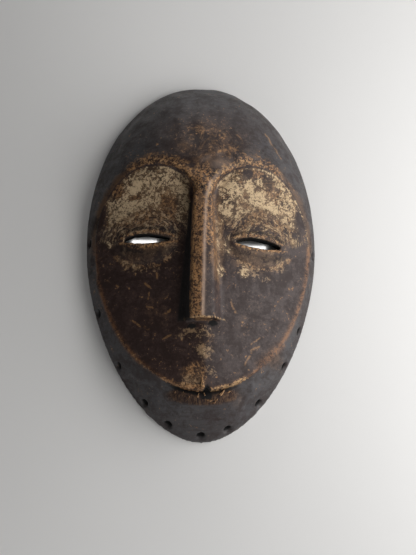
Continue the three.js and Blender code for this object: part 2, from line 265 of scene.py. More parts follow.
class MaskForm:
    """The mask's surfaces, as heights over a place in plan."""

    forehead_power = 2.04
    chin_power = 1.81
    face_edge_power = 1.9
    dome_power = 2.6
    dome_shoulder = 0.8
    brow_fullness = 2.2
    eye_fullness = 1.7
    muzzle_fullness = 1.25
    lid_shoulder = 0.7
    slit_upper_share = 0.62
    socket_fill = 0.62
    rim_hole_turns = (-90, -66, -48, -32, -19, -1, 15, 32, 48, 60.5, 86)

    def __init__(self, sizes):
        self.sizes = sizes
        self.half_wide = sizes.wide / 2
        self.half_long = sizes.long / 2
        self.widest = self.along(0.064)
        self.temple_x, self.temple_y = self.across(0.916), self.along(0.036)
        self.crest_x, self.crest_y = self.across(0.455), self.along(0.436)
        self.root_x, self.root_y = self.across(0.068), self.along(0.243)
        self.nose_top = self.along(0.26)
        self.nose_base = self.nose_top - sizes.nose_length
        self.nose_axis = self.across(-0.016)
        self.lip_y = self.along(-0.755)
        self.notch_x = self.across(0.025)
        self.mouth_corner = self.across(0.55)
        self.nail_hole = (self.across(-0.025), self.along(0.289))
        self.lids = ((self.across(-0.488), self.along(0.032)), (self.across(0.483), self.along(0.024)))
        self.slits = (
            (self.across(-0.464), self.along(0.037), self.across(-0.09), -0.03),
            (self.across(0.469), self.along(0.018), self.across(-0.06), -0.06),
        )
        self.nostrils = ((self.across(-0.100), 0.86), (self.across(0.065), 0.72))

    def across(self, share):
        return share * self.half_wide

    def along(self, share):
        return share * self.half_long

    def outline_curve(self, above, inset=0.0):
        """The outline's reach along the mask and its power, above or below its widest place."""
        reach = np.where(above, self.half_long - self.widest, self.half_long + self.widest) - inset
        return reach, np.where(above, self.forehead_power, self.chin_power)

    def spread(self, x, y, inset=0.0):
        """Share of the way out from the centre line to the outline, drawn in by inset."""
        reach, power = self.outline_curve(y > self.widest, inset)
        sideways = np.abs(x / (self.half_wide - inset)) ** power
        lengthways = np.abs((y - self.widest) / reach) ** power
        return (sideways + lengthways) ** (1 / power)

    def dome(self, x, y, inset=0.0, depth=None):
        share = np.minimum(self.spread(x, y, inset), 1)
        depth = self.sizes.deep if depth is None else depth
        return depth * (1 - share**self.dome_power) ** self.dome_shoulder

    def outline_point(self, turn, share, inset=0.0):
        """Place in plan at a turn from the chin and a share of the way out."""
        reach, power = self.outline_curve(np.cos(turn) <= 0, inset)
        sideways = np.sign(np.sin(turn)) * np.abs(np.sin(turn)) ** (2 / power)
        lengthways = np.sign(np.cos(turn)) * np.abs(np.cos(turn)) ** (2 / power)
        return (self.half_wide - inset) * sideways * share, self.widest - reach * lengthways * share

    def half_width(self, y):
        reach, power = self.outline_curve(y > self.widest)
        rest = np.maximum(0, 1 - np.abs((y - self.widest) / reach) ** power)
        return self.half_wide * rest ** (1 / power)

    def face_half_width(self, y):
        upper = self.temple_x * self.half_width(y) / self.half_width(self.temple_y)
        share = share_of(self.temple_y - y, 0, self.temple_y - self.lip_y)
        lower = self.temple_x * (1 - share**self.face_edge_power) ** (1 / self.face_edge_power)
        return np.where(y > self.temple_y, upper, lower)

    def jaw_line(self, x):
        """Lower edge of the face at a distance from the centre line."""
        share = share_of(np.abs(x), 0, self.temple_x)
        rest = (1 - share**self.face_edge_power) ** (1 / self.face_edge_power)
        return self.temple_y - (self.temple_y - self.lip_y) * rest

    def brow_line(self, x):
        """Upper edge of the face at a distance from the centre line."""
        side = np.abs(x)
        outer = share_of(side, self.crest_x, self.temple_x)
        inner = share_of(self.crest_x - side, 0, self.crest_x - self.root_x)
        beyond = self.temple_y + (self.crest_y - self.temple_y) * np.sqrt(1 - outer**2)
        within = self.root_y + (self.crest_y - self.root_y) * np.sqrt(1 - inner**2)
        return np.where(side > self.crest_x, beyond, within)

    def face_line(self, y):
        """Height of the face along its centre line."""
        up = smooth(y, 0, self.crest_y)
        down = share_of(self.nose_base - y, 0, self.nose_base - self.lip_y)
        sizes = self.sizes
        return sizes.deep - sizes.face_drop + sizes.brow_lift * up - sizes.lip_fall * down**1.4

    def face_fullness(self, y):
        up = smooth(y, 0, self.root_y)
        down = smooth(-y, 0, -self.nose_base)
        rise = (self.brow_fullness - self.eye_fullness) * up
        return self.eye_fullness + rise + (self.muzzle_fullness - self.eye_fullness) * down

    def lip_swell(self, y):
        swell = np.clip(1 - (self.face_half_width(y) / self.mouth_corner) ** 2, 0, 1)
        return np.where(y > self.nose_base, 0, self.sizes.lip_rise * swell)

    def face_surface(self, x, y, swell):
        half = np.maximum(self.face_half_width(y), 0.5 * MM)
        edge = self.dome(half, y) + swell
        share = share_of(np.abs(x), 0, half)
        middle = self.face_line(y)
        return middle - (middle - edge) * share ** self.face_fullness(y)

    def lid_reach(self, x, y, lid):
        """How far out of an eyelid's outline a place lies: 1 on the outline."""
        sideways = (x - lid[0]) / (self.sizes.lid_long / 2)
        lengthways = (y - lid[1]) / (self.sizes.lid_high / 2)
        return np.sqrt(sideways**2 + lengthways**2)

    def eyelids(self, x, y):
        rise = 0
        for lid in self.lids:
            out = self.lid_reach(x, y, lid) ** 2
            rise = rise + self.sizes.lid_rise * np.maximum(0, 1 - out) ** self.lid_shoulder
        return rise

    def socket_lift(self, x, y):
        """Rise of the sockets towards the brow, which keeps the step there low."""
        near = 1 - smooth(self.brow_line(x) - y, 0, 20 * MM)
        away = band(np.abs(x), 10 * MM, 30 * MM, 60 * MM, self.temple_x)
        step = np.maximum(0, self.dome(x, y) - self.face_surface(x, y, 0))
        return self.socket_fill * step * near * away

    def carved_face(self, x, y):
        return self.face_surface(x, y, self.lip_swell(y)) + self.eyelids(x, y) + self.socket_lift(x, y)

    def hollow_skin(self, x, y):
        """Height of the hollow's skin over the floor."""
        sizes = self.sizes
        brow = self.brow_line(np.maximum(np.abs(x), self.crest_x))
        lift = np.maximum(0, y - brow - sizes.face_wall)
        behind = self.face_surface(x, np.minimum(y, brow), 0) - sizes.face_wall + lift
        return np.minimum(self.dome(x, y, sizes.side_wall, sizes.deep - sizes.face_wall), behind)


# Meshes


def add_object(name, data):
    thing = bpy.data.objects.new(name, data)
    bpy.context.scene.collection.objects.link(thing)
    return thing


def piece_of(name, points, faces):
    """A closed mesh object, without the faces that shrink to nothing at a pole or an edge."""
    mesh = bpy.data.meshes.new(name)
    mesh.from_pydata(np.asarray(points, float).tolist(), [], [list(map(int, face)) for face in faces])
    work = bmesh.new()
    work.from_mesh(mesh)
    bmesh.ops.remove_doubles(work, verts=work.verts, dist=2e-6)
    bmesh.ops.dissolve_degenerate(work, edges=work.edges, dist=1e-7)
    bmesh.ops.recalc_face_normals(work, faces=work.faces)
    work.to_mesh(mesh)
    work.free()
    return add_object(name, mesh)


def block_over(name, plan, columns, rows, top, bottom, wraps=False):
    """Closed solid over a grid of plan places, between a top skin and a bottom skin."""
    u, v = np.meshgrid(np.linspace(0, 1, columns + 1), np.linspace(0, 1, rows + 1), indexing="ij")
    x, y = plan(u, v)
    high, low = top(x, y, v) + 0 * x, bottom(x, y, v) + 0 * x
    points = np.concatenate([np.stack([x, y, z], -1).reshape(-1, 3) for z in (high, low)])
    place = np.arange((columns + 1) * (rows + 1)).reshape(columns + 1, rows + 1)
    under = place + place.size
    first, second = place[:-1, :-1].ravel(), place[1:, :-1].ravel()
    third, fourth = place[1:, 1:].ravel(), place[:-1, 1:].ravel()
    faces = [np.stack([first, second, third, fourth], -1)]
    faces.append(np.stack([fourth, third, second, first], -1) + place.size)
    faces.append(np.stack([under[:-1, 0], under[1:, 0], place[1:, 0], place[:-1, 0]], -1))
    faces.append(np.stack([under[1:, -1], under[:-1, -1], place[:-1, -1], place[1:, -1]], -1))
    if not wraps:
        faces.append(np.stack([under[0, 1:], under[0, :-1], place[0, :-1], place[0, 1:]], -1))
        faces.append(np.stack([under[-1, :-1], under[-1, 1:], place[-1, 1:], place[-1, :-1]], -1))
    return piece_of(name, points, np.concatenate(faces))


def loft(name, sections):
    """Closed solid through a row of sections that all have the same number of corners."""
    corners = len(sections[0])
    points = [corner for section in sections for corner in section]
    last = len(points) - corners
    faces = [list(range(corners))[::-1], list(range(last, last + corners))]
    for start in range(0, last, corners):
        for k in range(corners):
            after = (k + 1) % corners
            faces.append([start + k, start + after, start + corners + after, start + corners + k])
    return piece_of(name, points, faces)


def prism(name, outline, low, high):
    """Upright solid on a plan outline."""
    sections = [[(x, y, z) for x, y in outline] for z in (low, high)]
    return loft(name, sections)


def settle(piece):
    """Turns a piece and its modifiers into a plain mesh."""
    graph = bpy.context.evaluated_depsgraph_get()
    mesh = bpy.data.meshes.new_from_object(piece.evaluated_get(graph))
    piece.modifiers.clear()
    piece.data = mesh
    return piece


def combine(piece, other, operation):
    """Joins another solid to a piece, or cuts it away."""
    before = len(piece.data.vertices)
    modifier = piece.modifiers.new(operation, "BOOLEAN")
    modifier.operation = operation
    modifier.solver = "MANIFOLD"
    modifier.object = other
    settle(piece)
    if len(piece.data.vertices) == before:
        raise RuntimeError(f"{other.name} changed nothing on {piece.name}")
    bpy.data.objects.remove(other)
    return piece


def read(rows, name, width, kind=np.float32):
    """One property of all the rows of a mesh's list."""
    values = np.zeros(len(rows) * width, kind)
    rows.foreach_get(name, values)
    return values.reshape(-1, width)


def corners_of(piece):
    return read(piece.data.vertices, "co", 3).astype(float)


def set_corners(piece, points):
    piece.data.vertices.foreach_set("co", points.astype(np.float32).ravel())
    piece.data.update()


def normals_of(piece):
    return read(piece.data.vertex_normals, "vector", 3).astype(float)


def edges_of(piece):
    return read(piece.data.edges, "vertices", 2, np.int32)


def tree_over(points):
    """A tree that finds the nearest of some points."""
    tree = KDTree(len(points))
    for k, point in enumerate(points.tolist()):
        tree.insert(point, k)
    tree.balance()
    return tree


def averaged(values, pairs):
    """Each corner's mean over the corners that it shares an edge with."""
    count = np.bincount(pairs.ravel(), minlength=len(values)).astype(float)
    total = np.zeros_like(values)
    for k in range(values.shape[1]):
        total[:, k] += np.bincount(pairs[:, 0], values[pairs[:, 1], k], len(values))
        total[:, k] += np.bincount(pairs[:, 1], values[pairs[:, 0], k], len(values))
    return total / np.maximum(count, 1)[:, None]


def store(piece, name, values):
    """Keeps a number for each corner, for the material to read."""
    attribute = piece.data.attributes.new(name, "FLOAT", "POINT")
    attribute.data.foreach_set("value", np.asarray(values, np.float32))


# Geometry nodes


def cone_tree(name, material):
    """Tapered rods set on the points of a mesh, each along the point's heading and scaled by its size."""
    tree = bpy.data.node_groups.new(name, "GeometryNodeTree")
    for way in ("INPUT", "OUTPUT"):
        tree.interface.new_socket("Geometry", in_out=way, socket_type="NodeSocketGeometry")
    kinds = {"Corners": "NodeSocketInt"}
    for each in ("Inner radius", "Outer radius", "Inward reach", "Outward reach"):
        kinds[each] = "NodeSocketFloat"
    named = {}
    for each, kind in kinds.items():
        named[each] = tree.interface.new_socket(each, in_out="INPUT", socket_type=kind)

    def node(kind, inputs, **settings):
        """Adds a node: its settings first, then the values or links of its sockets."""
        made = tree.nodes.new(kind)
        for key, value in settings.items():
            setattr(made, key, value)
        for key, value in inputs.items():
            if isinstance(value, bpy.types.NodeSocket):
                tree.links.new(value, made.inputs[key])
            else:
                made.inputs[key].default_value = value
        return made.outputs

    given = node("NodeGroupInput", {})
    depth = node("ShaderNodeMath", {0: given["Inward reach"], 1: given["Outward reach"]}, operation="ADD")
    foot = node("ShaderNodeMath", {0: given["Inward reach"], 1: -1.0}, operation="MULTIPLY")
    cone = {"Vertices": given["Corners"], "Depth": depth[0]}
    cone |= {"Radius Top": given["Outer radius"], "Radius Bottom": given["Inner radius"]}
    rod = node("GeometryNodeMeshCone", cone)
    shift = node("ShaderNodeCombineXYZ", {"Z": foot[0]})
    moved = node("GeometryNodeTransform", {"Geometry": rod["Mesh"], "Translation": shift[0]})
    heading = node("GeometryNodeInputNamedAttribute", {"Name": "heading"}, data_type="FLOAT_VECTOR")
    size = node("GeometryNodeInputNamedAttribute", {"Name": "size"}, data_type="FLOAT")
    turn = node("FunctionNodeAlignRotationToVector", {"Vector": heading["Attribute"]}, axis="Z")
    place = {"Points": given["Geometry"], "Instance": moved["Geometry"]}
    place |= {"Rotation": turn["Rotation"], "Scale": size["Attribute"]}
    placed = node("GeometryNodeInstanceOnPoints", place)
    real = node("GeometryNodeRealizeInstances", {"Geometry": placed["Instances"]})
    painted = node("GeometryNodeSetMaterial", {"Geometry": real["Geometry"], "Material": material})
    node("NodeGroupOutput", {"Geometry": painted["Geometry"]})
    return tree, named


def cones(name, tree, named, points, headings, scales, **sizes):
    """The rods on their points, as one plain mesh."""
    mesh = bpy.data.meshes.new(name)
    mesh.from_pydata(points, [], [])
    heading = mesh.attributes.new("heading", "FLOAT_VECTOR", "POINT")
    heading.data.foreach_set("vector", np.asarray(headings, np.float32).ravel())
    rods = add_object(name, mesh)
    store(rods, "size", scales)
    modifier = rods.modifiers.new("rods", "NODES")
    modifier.node_group = tree
    for key, value in sizes.items():
        modifier[named[key.replace("_", " ").capitalize()].identifier] = value
    return settle(rods)


# Carving


class Carver:
    """Makes the mask's wood from blocks and cutters."""

    margin = 2 * MM
    rim_crowding = 1.6
    nostril_radii = (2.4 * MM, 1.4 * MM)
    nostril_reach = 7 * MM
    rim_hole_tilt = math.radians(10)

    def __init__(self, sizes):
        self.sizes = sizes
        self.form = MaskForm(sizes)

    def oval_block(self, name, columns, rows, inset, top, bottom):
        """Solid over the whole of the mask's outline, drawn in by inset."""

        def plan(u, v):
            return self.form.outline_point(-2 * np.pi * u, 1 - (1 - v) ** self.rim_crowding, inset)

        return block_over(name, plan, columns, rows, top, bottom, True)

    def blank(self):
        dome = self.form.dome
        return self.oval_block("blank", 300, 70, 0.0, lambda x, y, v: dome(x, y), lambda x, y, v: 0.0)

    def hollow(self):
        skin, wall, under = self.form.hollow_skin, self.sizes.side_wall, -self.margin
        return self.oval_block("hollow", 200, 50, wall, lambda x, y, v: skin(x, y), lambda x, y, v: under)

    def lip_block(self):
        form = self.form

        def plan(u, v):
            x = lerp(-form.mouth_corner, form.mouth_corner, u)
            places = np.stack([x.ravel(), 0 * x.ravel(), 0 * x.ravel()], -1)
            chips = np.maximum(0, noise_over(places, 0.0045, 3)).reshape(x.shape) * 2.2 * MM
            chips = chips * (1 - smooth(np.abs(x), 24 * MM, 32 * MM))
            return x, lerp(form.jaw_line(x) + chips, form.nose_base, v)

        return block_over(
            "lip_block",
            plan,
            160,
            12,
            lambda x, y, v: self.sizes.deep,
            lambda x, y, v: form.hollow_skin(x, y) - self.margin,
        )

    def face_cutter(self):
        form = self.form

        def plan(u, v):
            x = -form.temple_x * np.cos(np.pi * u)
            proud = np.clip(1 - (x / form.mouth_corner) ** 2, 0, 1)
            return x, lerp(form.jaw_line(x) - self.margin * proud, form.brow_line(x), v)

        return block_over(
            "face_cutter",
            plan,
            200,
            160,
            lambda x, y, v: self.sizes.deep + self.margin,
            lambda x, y, v: form.carved_face(x, y),
        )

    def nose(self):
        form, sizes = self.form, self.sizes
        sections = []
        for share in np.linspace(0, 1, 49):
            y = form.nose_top - sizes.nose_length * share
            ridge = float(form.dome(0, y))
            edge = ridge - sizes.nose_facet * min(1, share / 0.25)
            front = lerp(sizes.nose_bridge, sizes.nose_front, share) / 2
            foot = lerp(sizes.nose_bridge, sizes.nose_foot, share) / 2
            foot_x = form.nose_axis * (1 - share)
            foot_y = y + 0.4 * MM * share
            foot_z = float(form.carved_face(foot, y)) - 1.5 * MM
            sections.append(
                [
                    (form.nose_axis, y, ridge),
                    (form.nose_axis - front, y, edge),
                    (foot_x - foot, foot_y, foot_z),
                    (foot_x + foot, foot_y, foot_z),
                    (form.nose_axis + front, y, edge),
                ]
            )
        return loft("nose", sections)

    def eye_slit(self, slit):
        x, y, peak, lean = slit
        form, sizes = self.form, self.sizes
        upper = 2 * form.slit_upper_share * sizes.slit_high
        lower = -2 * (1 - form.slit_upper_share) * sizes.slit_high
        outline = []
        for half, middle, bow in ((sizes.slit_long / 2, peak, upper), (-sizes.slit_long / 2, 0.0, lower)):
            for share in np.linspace(0, 1, 24, endpoint=False):
                place = x - half * (1 - share) ** 2 + 2 * middle * share * (1 - share) + half * share**2
                outline.append((place, y + 2 * bow * share * (1 - share) + lean * (place - x)))
        return prism("eye_slit", outline, 0.0, sizes.deep)

    def mouth(self):
        form, sizes = self.form, self.sizes
        half = sizes.mouth_wide / 2
        outer = sizes.mouth_drop / (sizes.mouth_drop + sizes.mouth_cut)

        def fade(x):
            return 1 - 0.9 * (x / half) ** 2

        def plan(u, v):
            x = lerp(-half, half, u)
            line = form.jaw_line(x)
            return x, lerp(line - sizes.mouth_drop * fade(x), line + sizes.mouth_cut * fade(x), v)

        def low(x, y, v):
            return form.dome(x, form.jaw_line(x)) - sizes.mouth_deep * fade(x) * np.minimum(1, v / outer)

        def high(x, y, v):
            back = low(x, y, v) + 1.0 * MM
            under_lip = form.carved_face(x, form.jaw_line(x)) - sizes.lip_thick
            within = np.maximum(back, lerp(under_lip, back, (v - outer) / (1 - outer)))
            return np.where(v < outer, form.dome(x, y) + sizes.lip_thick, within)

        return block_over("mouth", plan, 60, 20, high, low)

    def notch(self):
        form, sizes = self.form, self.sizes
        foot = form.lip_y - self.margin
        outline = [
            (form.notch_x - sizes.notch_wide / 2, foot),
            (form.notch_x + sizes.notch_wide / 2, foot),
            (form.notch_x, form.lip_y + sizes.notch_high),
        ]
        low = float(form.dome(form.notch_x, form.lip_y))
        return prism("notch", outline, low, low + 8 * MM)

    def nail_hole(self):
        x, y = self.form.nail_hole
        top = float(self.form.dome(x, y))
        radius = self.sizes.nail_hole / 2
        return prism("nail_hole", ring(x, y, radius, radius), top - 12 * MM, top + 3 * MM)

    def nostril(self, nostril):
        form = self.form
        x, share = nostril
        tip = float(form.dome(0, form.nose_base))
        z = lerp(tip, float(form.carved_face(0, form.nose_base)), share)
        y = form.nose_base - 1.0 * MM
        ends = []
        for end in (-self.nostril_reach, self.nostril_reach):
            ends.append([(across, y + end, high) for across, high in ring(x, z, *self.nostril_radii)])
        return loft("nostril", ends)

    def rim_hole_places(self):
        """The mouth of each lashing hole, and the direction in which it opens."""
        form, sizes = self.form, self.sizes
        share = (1 - (sizes.rim_hole_rise / sizes.deep) ** (1 / form.dome_shoulder)) ** (1 / form.dome_power)
        points, outward = [], []
        for degrees in form.rim_hole_turns:
            turn = math.radians(degrees)
            x, y = form.outline_point(turn, share)
            before = form.outline_point(turn - 0.02, share)
            after = form.outline_point(turn + 0.02, share)
            way = Vector((after[1] - before[1], before[0] - after[0], 0)).normalized()
            way = way * math.cos(self.rim_hole_tilt)
            way.z = math.sin(self.rim_hole_tilt)
            points.append((float(x), float(y), sizes.rim_hole_rise))
            outward.append(tuple(way))
        return points, outward

    def rim_holes(self, wood):
        """Cutters for the lashing holes, and for their worn mouths."""
        sizes = self.sizes
        points, outward = self.rim_hole_places()
        tree, named = cone_tree("drill_bits", wood)
        throat = sizes.rim_hole / 2
        mouth = throat + 2 * (sizes.rim_hole_mouth / 2 - throat)
        through = sizes.side_wall + 3 * self.margin
        shapes = (("throats", throat, through, 4 * MM), ("mouths", mouth, 3 * MM, 3 * MM))
        cutters = []
        for name, wide, inward, beyond in shapes:
            bits = dict(corners=24, inner_radius=throat, outer_radius=wide)
            bits |= dict(inward_reach=inward, outward_reach=beyond)
            cutters.append(cones(name, tree, named, points, outward, [1.0] * len(points), **bits))
        bpy.data.node_groups.remove(tree)
        return cutters

    def carve(self, wood):
        """The whole carving, as one sharp-edged solid."""
        form = self.form
        mask = combine(self.blank(), self.lip_block(), "UNION")
        combine(mask, self.face_cutter(), "DIFFERENCE")
        combine(mask, self.nose(), "UNION")
        cutters = [self.hollow(), *map(self.eye_slit, form.slits), self.mouth(), self.notch()]
        cutters += [*map(self.nostril, form.nostrils), self.nail_hole(), *self.rim_holes(wood)]
        for cutter in cutters:
            combine(mask, cutter, "DIFFERENCE")
        return mask


def remesh(piece, voxel):
    modifier = piece.modifiers.new("squares", "REMESH")
    modifier.mode = "VOXEL"
    modifier.voxel_size = voxel
    return settle(piece)


def round_edges(piece, passes):
    """Wears the sharp edges down, and keeps the rim flat on the floor."""
    points, pairs = corners_of(piece), edges_of(piece)
    grounded = points[:, 2] < 0.3 * MM
    for _ in range(passes):
        points = lerp(points, averaged(points, pairs), 0.6)
        points[grounded, 2] = 0.0
    set_corners(piece, points)


class Zones:
    """Where each finish lies on the carving: one number for each corner."""

    def __init__(self, form, points, normals):
        self.form = form
        self.points = points
        self.normals = normals
        self.x, self.y, self.z = points.T
        x, y, z = self.x, self.y, self.z
        within = 1 - smooth(form.spread(x, y, form.sizes.side_wall), 1.0, 1.04)
        self.inside = within * (1 - smooth(z - form.hollow_skin(x, y), 1.0 * MM, 3.0 * MM))
        self.inside = np.maximum(self.inside, smooth(-normals[:, 2], 0.6, 0.9) * (z < 2 * MM))
        self.outside = 1 - self.inside
        self.right = smooth(x, -4 * MM, 4 * MM)
        below_brow = smooth(form.brow_line(x) - y, -0.4 * MM, 0.4 * MM)
        above_jaw = smooth(y - form.jaw_line(x), -0.4 * MM, 0.4 * MM)
        self.face = below_brow * above_jaw * (np.abs(x) < form.temple_x) * self.outside

    def spot(self, *oval, edge=0.5):
        return spot(self.x, self.y, *oval, edge=edge)

    def distance(self, line):
        """How far each corner lies from a line of points."""
        tree = tree_over(np.asarray(line, float))
        return np.array([tree.find(point)[2] for point in self.points.tolist()])

    def near(self, line, reach):
        """1 on a line of points, fading to 0 over a reach."""
        return bell(self.distance(line), 0, reach)

    def brow_edge(self):
        form = self.form
        x = form.temple_x * np.cos(np.linspace(0, np.pi, 500))
        x = x[np.abs(x) > form.root_x]
        return np.stack([x, form.brow_line(x), form.dome(x, form.brow_line(x))], -1)

    def jaw_edge(self):
        form = self.form
        x = form.temple_x * np.cos(np.linspace(0, np.pi, 500))
        y = form.jaw_line(x)
        return np.stack([x, y, form.dome(x, y) + form.lip_swell(y)], -1)

    def on_dome(self, places):
        """A smooth line over the crown through places in millimetres."""
        steps = np.linspace(0, len(places) - 1, 40 * len(places))
        x, y = [np.interp(steps, range(len(places)), axis) for axis in (np.asarray(places, float) * MM).T]
        return np.stack([x, y, self.form.dome(x, y)], -1)

    def nose_edge(self):
        """The lower edge of the nose, from foot to foot."""
        form, sizes = self.form, self.form.sizes
        y = form.nose_base
        ridge, foot = float(form.dome(0, y)), float(form.carved_face(sizes.nose_foot / 2, y))
        front = sizes.nose_front / 2
        corners = (
            (-sizes.nose_foot / 2, y + 0.4 * MM, foot),
            (form.nose_axis - front, y, ridge - sizes.nose_facet),
            (form.nose_axis, y, ridge),
            (form.nose_axis + front, y, ridge - sizes.nose_facet),
            (sizes.nose_foot / 2, y + 0.4 * MM, foot),
        )
        steps = np.linspace(0, len(corners) - 1, 120)
        return np.stack([np.interp(steps, range(len(corners)), axis) for axis in zip(*corners)], -1)

    def within_holes(self, places, headings, radius):
        """1 on the wall of a drilled hole, below its mouth."""
        inner = 0 * self.x
        for place, heading in zip(places, headings):
            away = self.points - np.array(place)
            along = away @ np.array(heading)
            out = np.linalg.norm(away - along[:, None] * np.array(heading), axis=1)
            wall = (1 - smooth(out, 1.05 * radius, 1.35 * radius)) * smooth(-along, 0.2 * MM, 1.4 * MM)
            inner = np.maximum(inner, wall * (along > -12 * MM))
        return inner

    def scratch_gap(self):
        """Distance to the nearest scratch, in millimetres, up to NO_SCRATCH."""
        x = self.x / MM + 1.1 * noise_over(self.points, 0.006, 21)
        y = self.y / MM + 1.1 * noise_over(self.points, 0.006, 22)
        gap = np.full(len(x), NO_SCRATCH)
        for start_x, start_y, end_x, end_y in SCRATCHES:
            run_x, run_y = end_x - start_x, end_y - start_y
            along = ((x - start_x) * run_x + (y - start_y) * run_y) / max(1, run_x**2 + run_y**2)
            along = np.clip(along, 0, 1)
            gap = np.minimum(gap, np.hypot(x - start_x - along * run_x, y - start_y - along * run_y))
        return gap


def soften_brow(piece, form):
    """Wears the step under the brow and the nose's right side to a slope."""
    points, pairs = corners_of(piece), edges_of(piece)
    zones = Zones(form, points, normals_of(piece))
    x, y, base = zones.x, zones.y, form.nose_base
    brow = zones.near(zones.brow_edge(), 4.5 * MM) * smooth(np.abs(x), 6 * MM, 24 * MM)
    side = band(x, 4 * MM, 6 * MM, 16 * MM, 22 * MM)
    side = side * smooth(y, base + 2 * MM, base + 14 * MM) * (y < form.crest_y)
    front = (np.abs(x) < 15 * MM) * smooth(zones.z - form.face_surface(x, y, 0), 6 * MM, 9 * MM)
    front = front * smooth(y, base + 1 * MM, base + 5 * MM)
    spots = most(0.9 * zones.spot(-1, 40, 13, 16), 0.8 * zones.spot(0, -80, 9, 24))
    share = most(brow, 0.9 * side, 0.35 * front * zones.face, spots)
    share = (0.7 * share * zones.outside)[:, None]
    for _ in range(14):
        points = lerp(points, averaged(points, pairs), share)
    set_corners(piece, points)


FACET_COUNT = 330
FACET_DEEPEST = -0.9 * MM
FACET_HIGHEST = 0.5 * MM


def knife_facets(zones, pairs, seed):
    """How far flat knife cuts lie under the rounded surface, along its normal."""
    points, normals = zones.points, zones.normals
    picked = np.random.default_rng(seed).choice(len(points), FACET_COUNT, replace=False)
    picked = picked[zones.outside[picked] > 0.9]
    tree = tree_over(points[picked])
    depth = np.zeros((len(points), 1))
    for k, point in enumerate(points.tolist()):
        cuts = []
        for centre, which, _ in tree.find_n(point, 3):
            facing = normals[picked[which]]
            if facing @ normals[k] > 0.6:
                cuts.append(float(facing @ (np.array(centre) - points[k])))
        if cuts:
            depth[k] = min(cuts)
    depth = np.clip(depth, FACET_DEEPEST, FACET_HIGHEST)
    for _ in range(6):
        depth = lerp(depth, averaged(depth, pairs), 0.8)
    return depth[:, 0]


def carve_relief(piece, form, seed):
    """Gives the wood its hand-cut unevenness: slow swells, knife facets, pits and gouge marks."""
    points, normals = corners_of(piece), normals_of(piece)
    zones = Zones(form, points, normals)
    swell = 0.35 * MM * noise_over(points, 0.026, seed) + 0.16 * MM * noise_over(points, 0.009, seed + 1)
    facets = 0.95 * knife_facets(zones, edges_of(piece), seed) * (1 - zones.face)
    facets = facets * (1 - 0.6 * zones.spot(50, -96, 36, 34, edge=0.8))
    facets = facets * (1 + 0.6 * smooth(zones.y, 50 * MM, 80 * MM))
    pits = -0.18 * MM * np.maximum(0, noise_over(points, 0.0024, seed + 3)) * zones.face
    gouge = 0.9 * MM * np.abs(noise_over(points, (0.011, 0.030, 0.011), seed + 4)) - 0.3 * MM
    relief = zones.outside * (swell + facets + pits) + zones.inside * gouge
    relief = relief * smooth(zones.z, 0.2 * MM, 4 * MM)
    points = points + normals * relief[:, None]
    points = np.clip(points, np.array(NODE_LOW), np.array(NODE_HIGH))
    set_corners(piece, points)


def thin_out(piece, form, limit):
    """Brings the mesh under a number of triangles, mostly in the plain hollow."""
    zones = Zones(form, corners_of(piece), normals_of(piece))
    group = piece.vertex_groups.new(name="plain")
    plain = np.flatnonzero(zones.inside > 0.5)
    group.add(plain.tolist(), 1.0, "REPLACE")
    faces = 2 * len(piece.data.polygons)
    modifier = piece.modifiers.new("thin_out", "DECIMATE")
    modifier.ratio = min(1.0, limit / faces)
    modifier.vertex_group = group.name
    modifier.use_collapse_triangulate = True
    settle(piece)
    piece.vertex_groups.clear()


# Clay in the sockets and on the face: how dense, place and reaches in millimetres
CLAY_PATCHES = (
    (0.90, -50, 46, 11, 9),
    (0.86, -53, 30, 18, 13),
    (0.76, -32, 50, 14, 10),
    (0.62, -15, 42, 6, 19),
    (0.75, -68, 8, 7, 10),
    (0.90, 23, 42, 10, 12),
    (0.88, 34, 45, 7, 9),
    (0.88, 41, 50, 6, 5),
    (0.90, 40, 37, 11, 9),
    (0.86, 51, 31, 14, 8),
    (0.80, 17, 27, 10, 9),
    (0.74, 64, 26, 9, 16),
    (0.72, 32, 24, 10, 6),
    (0.42, 11, 8, 4, 40),
    (0.48, 16, -2, 8, 14),
    (0.76, 30, -19, 6, 7),
    (0.34, 46, -19, 9, 8),
    (0.32, 59, -12, 7, 9),
    (0.66, 12, -18, 4, 9),
    (0.40, 1, -79, 7, 8),
    (0.36, 5, -92, 4, 5),
    (0.30, -8, -98, 9, 7),
)

# Thin dirty clay on the wood: how much, place and reaches in millimetres
THIN_CLAY = (
    (0.84, 1, -78, 11, 10),
    (0.72, 5, -91, 7, 8),
    (0.66, -8, -98, 12, 8),
    (0.74, -6, -64, 22, 8),
    (0.55, 47, -22, 9, 7),
    (0.50, 58, -12, 9, 9),
    (0.55, -42, -16, 25, 5),
    (0.62, 34, -18, 14, 8),
    (0.60, -15, 38, 6, 22),
    (0.55, 11, 4, 5, 46),
    (0.40, -24, -1, 8, 14),
)

# Gaps in the socket clay: how much goes, place and reaches in millimetres
CLAY_GAPS = (
    (0.78, -26, 29, 10, 17),
    (0.55, -51, 38, 7, 3),
    (0.75, -65, 46, 9, 10),
    (0.60, 38, 55, 14, 5),
    (0.35, 30, 31, 7, 4),
    (0.40, 52, 44, 9, 6),
    (0.50, 31, 39, 3, 4),
)

# Brown wood through the patina: how much, place and reaches in millimetres
BROWN_PATCHES = (
    (0.50, 4, 76, 50, 34),
    (0.66, -1, 60, 24, 18),
    (0.60, -14, 74, 12, 12),
    (0.38, 34, 72, 30, 12),
    (0.50, 20, 74, 14, 10),
    (0.50, -2, 92, 9, 14),
    (1.00, -42, 34, 38, 34),
    (1.00, 42, 32, 36, 34),
    (0.85, -40, 0, 34, 24),
    (0.85, 40, -4, 36, 28),
    (0.80, -6, -93, 15, 14),
    (0.60, 2, -70, 10, 14),
    (0.40, -36, -50, 22, 26),
    (0.35, 34, -48, 24, 26),
    (0.65, 52, -80, 14, 12),
    (0.40, 26, -110, 8, 10),
)


